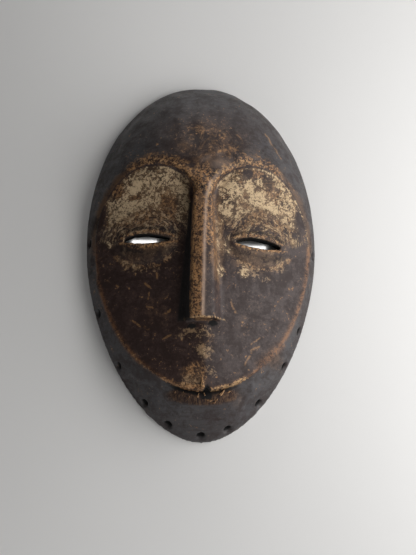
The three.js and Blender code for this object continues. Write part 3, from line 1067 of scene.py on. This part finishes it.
# Pale wood through the patina of the forehead: how much, place and reaches in millimetres
TAN_PATCHES = (
    (0.22, 2, 80, 50, 36),
    (0.32, 20, 72, 18, 9),
    (0.30, -4, 88, 10, 16),
)

# Lines over the crown, the nose and the jaw, in millimetres: bare wood with a painted highlight from the
# right brow over the nose's bridge, bare wood, polished wood with a painted highlight along the nose's
# ridge, and reddish wood
RIDGE_BARE_AND_HIGHLIGHT_LINE = ((17, 60), (11.6, 57.6), (5.8, 47.2), (2.0, 35), (0.6, 19), (-0.3, 0), (-1.4, -54))
LEFT_EDGE_LINE = ((-8, 44), (-9, 20), (-9.5, -52))
RIDGE_POLISH_AND_HIGHLIGHT_LINE = ((14, 57), (4.4, 45), (1.2, 34), (-0.3, 4), (-1.2, -36), (-1.4, -53))
JAW_BRANCH_LINE = ((58, -70), (50, -78), (41, -86))


class Finishes(Zones):
    """Where the clay, the bare wood and its painted highlights, the lids, and the painted shade lie."""

    def __init__(self, carver, points, normals):
        super().__init__(carver.form, points, normals)
        form, x, y, right = self.form, self.x, self.y, self.right
        self.holes = carver.rim_hole_places()
        self.side = np.abs(x)
        self.crown = 1 - self.face
        self.to_brow = self.distance(self.brow_edge())
        self.to_jaw = self.distance(self.jaw_edge())
        self.to_nail = np.hypot(x - form.nail_hole[0], y - form.nail_hole[1])
        self.jaw = bell(self.to_jaw, 0, 1.3 * MM)
        self.drop = form.brow_line(x) - y
        self.over_lip = y - form.jaw_line(x)
        low_edge = smooth(y, lerp(14, 12, right) * MM, lerp(19, 18, right) * MM)
        self.socket = low_edge * smooth(self.drop, 0.3 * MM, 1.8 * MM)
        self.socket = self.socket * band(self.side, 9 * MM, 12 * MM, 68 * MM, 76 * MM)
        self.mark_lids()
        self.mark_nose()
        self.mark_lip()

    def patches(self, rows, edge, start=0.0):
        """The highest of a table's soft ovals, each with its own amount."""
        return most(start, *[amount * self.spot(*oval, edge=edge) for amount, *oval in rows])

    def mark_lids(self):
        """The eyelids, their folds, the lines along the slits, and the painted shade in the creases beside
        them.
        """
        form, x, y = self.form, self.x, self.y
        self.lid, self.folds, self.under_lid, self.arc = 0 * x, 0 * x, 0 * x, 0 * x + 1.0
        for centre in form.lids:
            out = form.lid_reach(x, y, centre)
            above = smooth(y - centre[1], -2 * MM, 4 * MM)
            lid = (1 - smooth(out, lerp(0.7, 1.05, above), lerp(1.0, 1.4, above))) * lerp(0.4, 1.0, above)
            folds = (1 - smooth(out, lerp(0.8, 1.2, above), lerp(1.1, 1.7, above))) * lerp(0.2, 1.0, above)
            below = smooth(centre[1] - y, 4 * MM, 12 * MM)
            self.lid = most(self.lid, lid)
            self.folds = most(self.folds, folds)
            self.under_lid = most(self.under_lid, bell(out, 1.05, 0.11) * below)
            self.arc = np.where(out < 2, out * 18 * MM, self.arc)
        self.lid_edge, self.lid_crease_shade = 0 * x, 0 * x
        for slit_x, slit_y, _, lean in form.slits:
            along = (x - slit_x) / (form.sizes.slit_long / 2)
            middle = slit_y + lean * (x - slit_x)
            lens = form.sizes.slit_high * np.maximum(0, 1 - along**2)
            over = y - middle - form.slit_upper_share * lens
            under = middle - (1 - form.slit_upper_share) * lens - y
            span = (1 - smooth(np.abs(along), 0.9, 1.25)) * self.face
            edge = most(bell(over, 2.2 * MM, 1.1 * MM), bell(under, 1.4 * MM, 1.1 * MM))
            # Painted shade in the creases over and under each slit.
            crease = most(bell(over, 4.8 * MM, 1.1 * MM), 0.6 * bell(under, 7.0 * MM, 2.2 * MM))
            self.lid_edge = most(self.lid_edge, span * edge)
            self.lid_crease_shade = most(self.lid_crease_shade, span * crease)

    def mark_nose(self):
        """The nose's front and its two halves, how far down the nose each corner lies, and its base."""
        form, x, y = self.form, self.x, self.y
        self.down_nose = share_of(form.nose_top - y, 0, form.sizes.nose_length)
        proud = smooth(self.z - form.face_surface(x, y, 0), 5 * MM, 9 * MM)
        self.on_nose = (y < form.nose_top) * (y > form.nose_base - 1 * MM) * (self.side < 14 * MM) * proud
        right_half = smooth(x, -1.8 * MM, -0.8 * MM)
        self.left_front = self.on_nose * (1 - right_half)
        self.right_front = self.on_nose * right_half
        self.under_base = self.spot(0, -58, 17, 4, edge=0.4) * smooth(-self.normals[:, 1], 0.4, 0.7)

    def mark_lip(self):
        """The band along the edge of the lip: bare wood, with a painted highlight on its rounded edge."""
        top = lerp(1.3 + 2.6 * self.spot(-9, -102, 10, 8), 0.0, smooth(self.over_lip, 6 * MM, 7 * MM)) * MM
        self.lip_band = band(self.over_lip, -1.2 * MM, -0.2 * MM, top, top + 1.6 * MM)
        self.lip_band = self.lip_band * (1 - smooth(self.side, 26 * MM, 40 * MM))

    def clay(self):
        """Pale clay, mostly in the sockets."""
        right = self.right
        kaolin = self.patches(CLAY_PATCHES, 0.6, self.socket * lerp(0.70, 0.64, right))
        for amount, *oval in CLAY_GAPS:
            kaolin = kaolin * (1 - amount * self.spot(*oval, edge=0.7))
        rim_specks = bell(self.drop, 2.2 * MM, 1.4 * MM) * right * (self.side > 9 * MM) * (self.y > 8 * MM)
        kaolin = most(kaolin, 0.8 * rim_specks, self.under_lid * lerp(0.46, 0.40, right))
        return kaolin * (1 - 0.8 * self.lid * (1 - self.under_lid)) * self.face

    def bare_wood_and_highlights(self):
        """Wood laid bare along the brow, nose, lip, slits, nail hole and jaw, with painted highlights on the
        brow's edge, the nose's bridge and the lip, brighter on the right.
        """
        y, side, right = self.y, self.side, self.right
        brow = self.near(self.brow_edge() + np.array((0, 2.2 * MM, 0)), 3.2 * MM) * lerp(0.50, 0.70, right)
        brow = brow * (1 - smooth(side, 44 * MM, 58 * MM)) * smooth(y, 4 * MM, 30 * MM) * self.crown
        gold = most(
            brow,
            # Bare wood and a painted highlight on the brow's edge, far brighter on the right, where the
            # light falls.
            bell(self.to_brow, 0, 1.4 * MM) * lerp(0.10, 0.62, right) * smooth(y, -10 * MM, 20 * MM),
            # Bare wood and a painted highlight from the right brow over the nose's bridge.
            self.near(self.on_dome(RIDGE_BARE_AND_HIGHLIGHT_LINE), 1.5 * MM) * 0.70 * smooth(y, 10 * MM, 34 * MM),
            # Bare wood and a painted highlight along the lip's edge, brighter on the right.
            lerp(0.38, 0.66, right) * self.lip_band,
            0.74 * self.near(self.nose_edge() + np.array((0, 0.6 * MM, 0)), 1.6 * MM),
            0.42 * self.lid_edge,
            0.55 * self.near(self.on_dome(LEFT_EDGE_LINE) - np.array((0, 0, 2 * MM)), 1.2 * MM),
            0.6 * bell(self.to_nail, 2.2 * MM, 0.7 * MM),
        )
        jaw = self.jaw * (1 - right) * 0.45 * smooth(-y, 46 * MM, 60 * MM)
        jaw = jaw * (1 - smooth(side, 60 * MM, 66 * MM))
        return most(gold * self.outside, jaw)

    def polish_and_highlight(self):
        """Wood worn smooth along the ridge of the nose, with a painted highlight on it."""
        root = 0.3 * self.spot(13, 60, 12, 7, edge=0.9) * self.crown
        return most(self.near(self.on_dome(RIDGE_POLISH_AND_HIGHLIGHT_LINE), 1.1 * MM), root) * self.outside

    def brown_wood(self):
        """Warm brown wood through the patina."""
        start = most(
            0.9 * bell(self.to_brow, 0, 8 * MM) * self.crown,
            self.left_front,
            0.35 * self.right_front,
            0.5 * self.jaw,
            self.spot(9, 4, 9, 48) * self.face,
            self.under_base,
        )
        return self.patches(BROWN_PATCHES, 0.8, start) * self.outside

    def thin_patina(self):
        """Pale wood through the thinnest patina."""
        front = most(
            0.66 * bell(self.to_brow, 0, 8 * MM) * self.crown * (1 - smooth(self.side, 50 * MM, 66 * MM)),
            self.patches(TAN_PATCHES, 0.9) * self.crown,
            0.68 * self.spot(-1, 46, 12, 22, edge=0.7),
            self.left_front * lerp(0.74, 0.62, self.down_nose),
            self.right_front * lerp(0.60, 0.08, smooth(self.down_nose, 0.35, 0.62)),
        )
        tan = most(
            front * (1 - 0.8 * self.spot(-3.2, 31, 3, 6)),
            0.36 * self.spot(9, 10, 6, 38) * self.face,
            0.06 * self.face,
            0.24 * self.lid,
            0.95 * self.lid_edge,
            0.5 * self.under_lid,
            0.40 * self.socket,
            0.55 * self.spot(-40, 2, 22, 6, edge=0.6),
            0.5 * self.spot(-6, -93, 14, 12, edge=0.8),
            0.75 * self.lip_band,
            0.35 * self.under_base,
        )
        return tan * self.outside

    def jaw_rust(self):
        """Reddish wood along the jaw."""
        rust = bell(self.to_jaw, 0, 1.8 * MM) * lerp(0.75, 1.0, self.right) * smooth(-self.y, -24 * MM, 0)
        return most(rust, 0.8 * self.near(self.on_dome(JAW_BRANCH_LINE), 3.2 * MM)) * self.outside

    def mouth_shade(self):
        """Painted shade: black on the lip's underside, in the gap below it and in its notch."""
        form, x, side, lip = self.form, self.x, self.side, self.over_lip
        under = smooth(-self.normals[:, 1], 0.45, 0.75) * self.spot(0, form.lip_y / MM + 1, 31, 5, edge=0.2)
        under = under * smooth(side, 0, 1 * MM) * (1 - smooth(lip, -0.2 * MM, 0.4 * MM))
        gap = band(lip, -2.9 * MM, -2.0 * MM, -0.3 * MM, 0.2 * MM)
        gap = gap * (1 - smooth(side, 20 * MM, 29 * MM)) * lerp(1.0, 0.85, self.right)
        half = 1 - share_of(lip, -1 * MM, form.sizes.notch_high + 1.6 * MM)
        half = half * (form.sizes.notch_wide / 2 + 1.0 * MM)
        notch = 1 - smooth(np.abs(x - form.notch_x), half - 0.5 * MM, half + 0.1 * MM)
        notch = notch * smooth(form.carved_face(x, self.y) - self.z, -0.2 * MM, 0.3 * MM)
        notch = notch * (np.abs(lip) < 5 * MM)
        return most(0.92 * under, gap, notch)

    def cuts(self):
        """Painted shade: black in the rim holes, on the slits' walls, in the nail hole, the nostrils, the
        lid creases and the mouth; soot and a painted shadow beside the nose; a darker patch by the left
        temple.
        """
        form, y = self.form, self.y
        # Painted shade on the walls of the rim holes and of the slits.
        through = self.within_holes(*self.holes, form.sizes.rim_hole / 2)
        for slit in form.slits:
            gap = self.spot(slit[0] / MM, slit[1] / MM, 22, 6, edge=0.2)
            through = most(through, gap * (1 - smooth(np.abs(self.normals[:, 2]), 0.3, 0.75)))
        # Painted shade in the nostrils.
        nostrils = self.spot(-8.8, -59.6, 3.2, 2.2, edge=0.15)
        nostrils = most(nostrils, self.spot(6.4, -57.6, 3.8, 2.2, edge=0.15)) * (self.z < 47 * MM)
        # Soot and a painted shadow on the nose's left flank and on the face beside its foot.
        foot = lerp(-10.5, -19.0, self.down_nose) * MM
        nose_shadow_and_soot = band(self.x, foot - 1 * MM, foot + 1 * MM, -9.8 * MM, -9.0 * MM)
        nose_shadow_and_soot = nose_shadow_and_soot * (y > form.nose_base) * (y < form.nose_top - 4 * MM) * (1 - self.on_nose)
        dark = most(
            # Painted shade in the nail hole.
            1 - smooth(self.to_nail, 1.0 * MM, 1.6 * MM),
            0.7 * self.lid_crease_shade,
            nostrils,
            # A darker patch by the left temple.
            0.55 * self.spot(-77, 22, 8, 7, edge=0.8) * self.crown * self.outside,
            0.85 * nose_shadow_and_soot,
            self.mouth_shade(),
        )
        return most(dark * self.outside, through)

    def scoop(self):
        """The torn cut under the lip."""
        below = 1 - smooth(self.over_lip, -0.6 * MM, 0.2 * MM)
        return self.spot(0, self.form.lip_y / MM - 2, 29, 8, edge=0.25) * below * self.outside


def mark_finishes(piece, carver):
    """Stores where each finish lies, for the material to read."""
    marks = Finishes(carver, corners_of(piece), normals_of(piece))
    finishes = {
        "kaolin": marks.clay(),
        "brown": marks.brown_wood(),
        "tan": marks.thin_patina(),
        "gold": marks.bare_wood_and_highlights(),
        "worn": marks.polish_and_highlight(),
        "thin": marks.patches(THIN_CLAY, 0.8, 0.5 * marks.under_lid) * marks.face,
        "sooty": most(marks.face, marks.spot(-2, 82, 54, 42, edge=0.8)) * marks.outside,
        "lid": marks.folds * marks.face,
        "arc": marks.arc,
        "rust": marks.jaw_rust(),
        "scoop": marks.scoop(),
        "inside": marks.inside,
        "dark": marks.cuts(),
        "scratch": marks.scratch_gap(),
    }
    for name, values in finishes.items():
        store(piece, name, values)


def torn_fibres(mask, wood):
    """Splinters that stand in the torn cut under the lip."""
    points, headings, scales = [], [], []
    for x, y, degrees, long in SPLINTERS:
        turn = math.radians(degrees)
        found, place, _, _ = mask.ray_cast((x * MM, y * MM, 0.1), (0, 0, -1))
        if not found:
            raise RuntimeError("a splinter misses the wood")
        points.append((place.x, place.y, place.z + 0.3 * MM))
        headings.append((math.cos(turn), math.sin(turn), 0.22))
        scales.append(long / 4)
    tree, named = cone_tree("splinters", wood)
    sizes = dict(corners=6, inner_radius=0.85 * MM, outer_radius=0.25 * MM)
    sizes |= dict(inward_reach=0.8 * MM, outward_reach=3.2 * MM)
    fibres = cones(SPLINTER_PIECE, tree, named, points, headings, scales, **sizes)
    bpy.data.node_groups.remove(tree)
    for name, amount in (("gold", 0.50), ("tan", 0.95), ("scratch", NO_SCRATCH)):
        store(fibres, name, [amount] * len(fibres.data.vertices))
    return fibres


# Materials

BUMP_RELIEF = 1 * MM


class Number:
    """A socket that holds a number, so that shader maths can be written as expressions."""

    def __init__(self, paint, socket):
        self.paint = paint
        self.socket = socket

    def _maths(self, operation, *values):
        return self.paint.node("ShaderNodeMath", {"operation": operation}, dict(enumerate(values)))

    def __add__(self, other):
        return self._maths("ADD", self, other)

    def __radd__(self, other):
        return self._maths("ADD", other, self)

    def __sub__(self, other):
        return self._maths("SUBTRACT", self, other)

    def __rsub__(self, other):
        return self._maths("SUBTRACT", other, self)

    def __mul__(self, other):
        return self._maths("MULTIPLY", self, other)

    def __rmul__(self, other):
        return self._maths("MULTIPLY", other, self)

    def __truediv__(self, other):
        return self._maths("DIVIDE", self, other)

    def __abs__(self):
        return self._maths("ABSOLUTE", self)

    def most(self, other):
        return self._maths("MAXIMUM", self, other)

    def least(self, other):
        return self._maths("MINIMUM", self, other)

    def between(self, low, high):
        """0 at low, 1 at high, with a smooth rise."""
        settings = {"interpolation_type": "SMOOTHSTEP"}
        inputs = {"Value": self, "From Min": low, "From Max": high}
        return self.paint.node("ShaderNodeMapRange", settings, inputs)


class Paint:
    """Builds one material's nodes."""

    def __init__(self, name):
        self.material = bpy.data.materials.new(name)
        self.material.use_nodes = True
        self.tree = self.material.node_tree
        self.tree.nodes.clear()
        self.coordinates = self.node("ShaderNodeTexCoord", output="Object")

    def node(self, kind, settings=None, inputs=None, output=0):
        """Adds a node: its settings first, then the values or links of its sockets."""
        made = self.tree.nodes.new(kind)
        for name, value in (settings or {}).items():
            setattr(made, name, value)
        for name, value in (inputs or {}).items():
            if isinstance(value, Number):
                self.tree.links.new(value.socket, made.inputs[name])
            else:
                made.inputs[name].default_value = value
        return Number(self, made.outputs[output])

    def attribute(self, name):
        return self.node("ShaderNodeAttribute", {"attribute_name": name}, output="Fac")

    def stretched(self, x, y, z):
        """Object coordinates stretched along an axis by a factor."""
        inputs = {0: self.coordinates, 1: (1 / x, 1 / y, 1 / z)}
        return self.node("ShaderNodeVectorMath", {"operation": "MULTIPLY"}, inputs)

    def noise(self, size, detail=2.0, rough=0.55, where=None, twist=0.0, offset=0.0):
        """Noise between 0 and 1, with lumps of a size in metres."""
        vector = where or self.coordinates
        if offset:
            inputs = {0: vector, 1: (offset, offset * 0.7, -offset)}
            vector = self.node("ShaderNodeVectorMath", {"operation": "ADD"}, inputs)
        inputs = {"Vector": vector, "Scale": 1 / size, "Detail": detail}
        inputs |= {"Roughness": rough, "Distortion": twist}
        return self.node("ShaderNodeTexNoise", None, inputs)

    def place(self, x, y, z):
        """A place built from three numbers."""
        return self.node("ShaderNodeCombineXYZ", None, {"X": x, "Y": y, "Z": z})

    def mix(self, share, first, second):
        """Mixes two colours."""
        colours = [tuple(c) + (1.0,) if not isinstance(c, Number) else c for c in (first, second)]
        return self.node("ShaderNodeMix", {"data_type": "RGBA"}, {0: share, 6: colours[0], 7: colours[1]}, 2)

    def surface(self, base, roughness, height=None, **constants):
        """Finishes the material with one principled shader and an output."""
        inputs = {"Base Color": base, "Roughness": roughness, **constants}
        if height is not None:
            bump = {"Height": height, "Distance": BUMP_RELIEF, "Strength": 1.0}
            inputs["Normal"] = self.node("ShaderNodeBump", None, bump)
        shader = self.node("ShaderNodeBsdfPrincipled", None, inputs)
        output = self.tree.nodes.new("ShaderNodeOutputMaterial")
        self.tree.links.new(shader.socket, output.inputs["Surface"])
        return self.material


def patinated_wood(colours):
    """Dark patina with pale clay in the sockets and bare wood along the edges."""
    paint = Paint("patinated_wood")
    names = ("kaolin", "thin", "brown", "tan", "gold", "worn", "rust")
    kaolin, thin, brown, tan, gold, worn, rust = map(paint.attribute, names)
    names = ("sooty", "lid", "arc", "scoop", "inside", "dark", "scratch")
    sooty, lid, arc, scoop, inside, dark, scratch = map(paint.attribute, names)

    broad = paint.noise(0.034, 3)
    cloud = paint.noise(0.012, 7, 0.66, twist=0.5, offset=0.11)
    lumps = paint.noise(0.0050, 6, 0.70, twist=0.6, offset=0.23)
    flecks = paint.noise(0.0020, 4, 0.66, twist=0.8, offset=0.37)
    specks = paint.noise(0.0014, 2, 0.6, offset=0.91)
    across = paint.node("ShaderNodeSeparateXYZ", None, {"Vector": paint.coordinates}, "X")
    warped_arc = arc + (cloud - 0.5) * 0.010 + (lumps - 0.5) * 0.002
    wrinkle = paint.noise(0.0029, 5, 0.62, paint.place(across / 3.4, warped_arc, 0.0), twist=2.4)
    strokes = paint.noise(0.0016, 4, 0.65, paint.stretched(7, 1, 2), twist=0.4)
    fibre = paint.noise(0.0009, 3, 0.6, paint.stretched(1, 12, 4))
    veins = paint.noise(0.016, 6, 0.62, twist=1.4, offset=0.53)
    tone = lumps * 0.5 + flecks * 0.5

    def broken(amount, by_cloud, by_lumps, by_flecks, low, high):
        """An amount broken up by noise at three sizes: 0 where it is low, 1 where it is high."""
        for pattern, strength in ((cloud, by_cloud), (lumps, by_lumps), (flecks, by_flecks)):
            if strength:
                amount = amount + (pattern - 0.5) * strength
        return amount.between(low, high)

    # Patina and the wood under it
    blush = (cloud * 0.45 + lumps * 0.3 + flecks * 0.25).between(0.42, 0.58)
    grime = (cloud * 0.5 + tone * 0.5).between(0.42, 0.54)
    mottle = broken(brown, 2.6, 1.4, 1.2, 0.25, 1.0)
    vein = 1 - (abs(veins - 0.5) * 24).least(1.0)
    speckle = broken(tan, 1.0, 2.0, 2.8, 0.44, 0.86)
    amber = paint.mix((flecks * 0.6 + specks * 0.4).between(0.45, 0.56), colours.rust, colours.tan)
    grain = (1 - (flecks * 0.55 + specks * 0.45).between(0.44, 0.51)) * tan.between(0.25, 0.6)
    torn = (fibre * 0.4 + flecks * 0.35 + lumps * 0.25).between(0.45, 0.58)

    # Clay
    film = broken(kaolin, 2.0, 0, 0, 0.1, 0.9)
    smear = broken(thin, 1.6, 3.2, 3.0, 0.42, 1.0) * thin.between(0.05, 0.25)
    blotch = cloud * 0.30 + lumps * 0.33 + flecks * 0.37
    flake = (blotch + kaolin * 0.19 - 0.612).between(0.0, 0.045) * kaolin.between(0.04, 0.16)
    clean = (kaolin * 0.9 + (tone - 0.5) * 3.4).between(0.25, 0.85)
    crease = wrinkle.between(0.51, 0.57) * lid * lumps.between(0.40, 0.52)
    fold = (1 - wrinkle.between(0.40, 0.48)) * lid
    pit = (specks.between(0.57, 0.66) * 0.8).most(lumps.between(0.62, 0.68)) * kaolin.between(0.1, 0.4)

    # Wear, with painted highlights along the edges
    streak = rust * (flecks * 0.6 + cloud * 0.4).between(0.38, 0.58)
    bare = broken(gold, 0, 1.0, 1.9, 0.36, 0.92)
    mark = 1 - broken(scratch, 0, 0, 3.0, 0.30, 0.95)

    layers = (
        (sooty, paint.mix(blush, colours.soot, colours.mauve)),
        ((1 - grime) * (0.6 + brown * 0.4), colours.soot),
        ((1 - strokes.between(0.38, 0.52)) * 0.4, colours.soot),
        (mottle * (0.25 + brown * 0.7), colours.brown),
        (vein * tan.between(0.08, 0.4) * flecks.between(0.35, 0.55) * 0.75, colours.tan),
        (speckle * 0.9, amber),
        (grain * 0.8, colours.soot),
        (film * kaolin.between(0.05, 0.4) * 0.35, colours.clay),
        (smear * 0.75, colours.clay),
        (flake, paint.mix(clean, colours.clay, colours.kaolin)),
        (fold * 0.8, colours.soot),
        (crease * 0.85, paint.mix(tone.between(0.44, 0.56) * 0.7, colours.clay, colours.kaolin)),
        (pit * 0.85, colours.soot),
        (streak * 0.9, colours.rust),
        # Polished wood and a painted highlight along the nose's ridge.
        (worn * (0.55 + fibre * 0.5), colours.worn),
        # Bare wood, with painted highlights on the brow's edge, the nose's bridge and the lip.
        (bare * gold.between(0.02, 0.2) * 0.92, colours.bare),
        (mark * cloud.between(0.36, 0.5) * 0.45, colours.tan),
        (scoop * 0.9, paint.mix(torn, colours.soot, colours.brown)),
        (inside, paint.mix(fibre.between(0.35, 0.7), colours.hollow, colours.umber)),
        # Painted shade in the holes, slit walls, creases and mouth; soot and a painted shadow beside the
        # nose.
        (dark, colours.shade_black),
    )
    wood = paint.mix(broad.between(0.40, 0.62) * (0.12 + brown * 0.88), colours.charcoal, colours.umber)
    for share, above in layers:
        wood = paint.mix(share, wood, above)

    clay = flake.most(crease * 0.8)
    rough = 0.40 + 0.22 * tone + 0.14 * (1 - grime) * (1 - gold) + 0.38 * clay.most(bare * 0.4)
    rough = rough + 0.12 * speckle + 0.35 * inside.most(scoop) + 0.3 * dark
    height = 0.12 * clay - 0.14 * pit + 0.05 * fibre + 0.12 * lumps + 0.05 * flecks - 0.04 * vein * tan
    height = height + 0.05 * strokes + 0.35 * scoop * flecks + 0.25 * lid * wrinkle
    height = height - 0.08 * speckle - 0.06 * grain
    return paint.surface(wood, rough.least(0.95), height, **{"Specular IOR Level": 0.42})


def floor_paint(settings):
    paint = Paint("pale_floor")
    shade = paint.noise(0.4, 1)
    base = paint.mix(shade.between(0.3, 0.7), settings.floor, [c * 0.985 for c in settings.floor])
    return paint.surface(base, 0.9)


# Stage


MIDDLE = (0, 0, 0.02)
FLOOR_REACH = 3.0

# The soft lights, named as their powers are: place and size in metres
LIGHTS = (
    ("key", (0.42, -0.05, 0.25), 0.60),
    ("chin_fill", (-0.26, -0.67, 0.40), 0.50),
    ("crown_fill", (0.0, 0.75, 0.20), 0.40),
    ("side_fill", (0.45, 0.45, 0.35), 0.50),
)

# The lights behind the eye slits: places, height and size in metres
GLOW_PLACES = ((-0.0436, 0.0128), (0.0403, 0.0094))
GLOW_RISE = 0.0012
GLOW_SIZE = (0.019, 0.0026)


def add_light(name, location, target, size, power, size_y=None):
    lamp = bpy.data.lights.new(name, "AREA")
    lamp.energy = power
    lamp.size = size
    if size_y:
        lamp.shape = "RECTANGLE"
        lamp.size_y = size_y
    light = add_object(name, lamp)
    light.location = location
    light.rotation_mode = "QUATERNION"
    light.rotation_quaternion = (Vector(target) - Vector(location)).to_track_quat("-Z", "Y")
    return light


def aim_camera(settings):
    """Sets the camera below the chin and a little to the left, looking down on the mask."""
    focal_pixels = 1002
    image_size = (416, 555)
    aim_pixel = (202.6, 252.4)
    target = Vector(MIDDLE)
    tilt, turn = settings.tilt, settings.turn
    back = Vector((-math.sin(turn) * math.cos(tilt), -math.sin(tilt), math.cos(turn) * math.cos(tilt)))
    side = Vector((0, 1, 0)).cross(back).normalized()
    up = back.cross(side)
    across = (image_size[0] / 2 - aim_pixel[0]) / focal_pixels
    down = (aim_pixel[1] - image_size[1] / 2) / focal_pixels
    location = target + back * settings.distance
    look = -back + side * across + up * down
    camera = bpy.data.cameras.new("camera")
    camera.sensor_width = 36
    camera.lens = camera.sensor_width * focal_pixels / max(image_size)
    camera.clip_start, camera.clip_end = 0.01, 10
    thing = add_object("camera", camera)
    new_back = -look.normalized()
    new_side = up.cross(new_back).normalized()
    new_up = new_back.cross(new_side)
    turned = Matrix((new_side, new_up, new_back)).transposed()
    thing.matrix_world = Matrix.Translation(location) @ turned.to_4x4()
    bpy.context.scene.camera = thing


# Operators


class MASK_OT_carve(bpy.types.Operator):
    """Carve the mask and give it its patina"""

    bl_idname = "mask.carve"
    bl_label = "Carve mask"

    def execute(self, context):
        sizes = context.scene.mask_sizes
        wood = patinated_wood(context.scene.mask_colours)
        carver = Carver(sizes)
        mask = carver.carve(wood)
        mask.name = MASK_PIECE
        mask.data.name = MASK_PIECE
        remesh(mask, sizes.fineness)
        soften_brow(mask, carver.form)
        round_edges(mask, sizes.wear)
        carve_relief(mask, carver.form, sizes.seed)
        thin_out(mask, carver.form, sizes.triangles)
        mark_finishes(mask, carver)
        mask.data.materials.clear()
        mask.data.materials.append(wood)
        mask.data.shade_smooth()
        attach(mask, "root")
        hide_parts(CAD_NODE)
        return {"FINISHED"}


class MASK_OT_splinters(bpy.types.Operator):
    """Raise the torn fibres in the cut under the lip"""

    bl_idname = "mask.splinters"
    bl_label = "Tear lip"

    def execute(self, context):
        mask = bpy.data.objects[MASK_PIECE]
        fibres = torn_fibres(mask, mask.data.materials[0])
        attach(fibres, "root")
        return {"FINISHED"}


class MASK_OT_stage(bpy.types.Operator):
    """Lay a pale floor, set the lights and aim the camera"""

    bl_idname = "mask.stage"
    bl_label = "Set stage"

    def execute(self, context):
        settings = context.scene.mask_stage
        corners = [(x * FLOOR_REACH, y * FLOOR_REACH, 0) for x, y in ((-1, -1), (1, -1), (1, 1), (-1, 1))]
        mesh = bpy.data.meshes.new("floor")
        mesh.from_pydata(corners, [], [(0, 1, 2, 3)])
        floor = add_object("floor", mesh)
        mesh.materials.append(floor_paint(settings))
        for name, place, size in LIGHTS:
            add_light(name, place, MIDDLE, size, getattr(settings, name))
        wide, high = GLOW_SIZE
        for x, y in GLOW_PLACES:
            glow = add_light("back_glow", (x, y, GLOW_RISE), (x, y, 0), wide, settings.back_glow, high)
            glow.visible_camera = False
        world = bpy.data.worlds.new("even_light")
        world.use_nodes = True
        world.node_tree.nodes["Background"].inputs["Strength"].default_value = settings.sky
        world.node_tree.nodes["Background"].inputs["Color"].default_value = (1, 1, 1, 1)
        context.scene.world = world
        context.scene.view_settings.view_transform = "Standard"
        aim_camera(settings)
        return {"FINISHED"}


class MASK_PT_panel(bpy.types.Panel):
    """Sizes, colours and steps of the mask"""

    bl_idname = "MASK_PT_panel"
    bl_label = "Mask"
    bl_space_type = "VIEW_3D"
    bl_region_type = "UI"
    bl_category = "Mask"

    def draw(self, context):
        layout = self.layout
        groups = (
            (MASK_OT_carve, context.scene.mask_sizes),
            (MASK_OT_splinters, context.scene.mask_colours),
            (MASK_OT_stage, context.scene.mask_stage),
        )
        for step, group in groups:
            box = layout.box()
            box.operator(step.bl_idname)
            for name in group.__annotations__:
                box.prop(group, name)


CLASSES = (
    MaskSizes,
    MaskColours,
    StageSettings,
    MASK_OT_carve,
    MASK_OT_splinters,
    MASK_OT_stage,
    MASK_PT_panel,
)


def register():
    for each in CLASSES:
        bpy.utils.register_class(each)
    bpy.types.Scene.mask_sizes = PointerProperty(type=MaskSizes)
    bpy.types.Scene.mask_colours = PointerProperty(type=MaskColours)
    bpy.types.Scene.mask_stage = PointerProperty(type=StageSettings)


def unregister():
    del bpy.types.Scene.mask_stage
    del bpy.types.Scene.mask_colours
    del bpy.types.Scene.mask_sizes
    for each in reversed(CLASSES):
        bpy.utils.unregister_class(each)


def main():
    register()
    bpy.ops.mask.carve()
    bpy.ops.mask.splinters()
    bpy.ops.mask.stage()


if __name__ == "__main__":
    main()
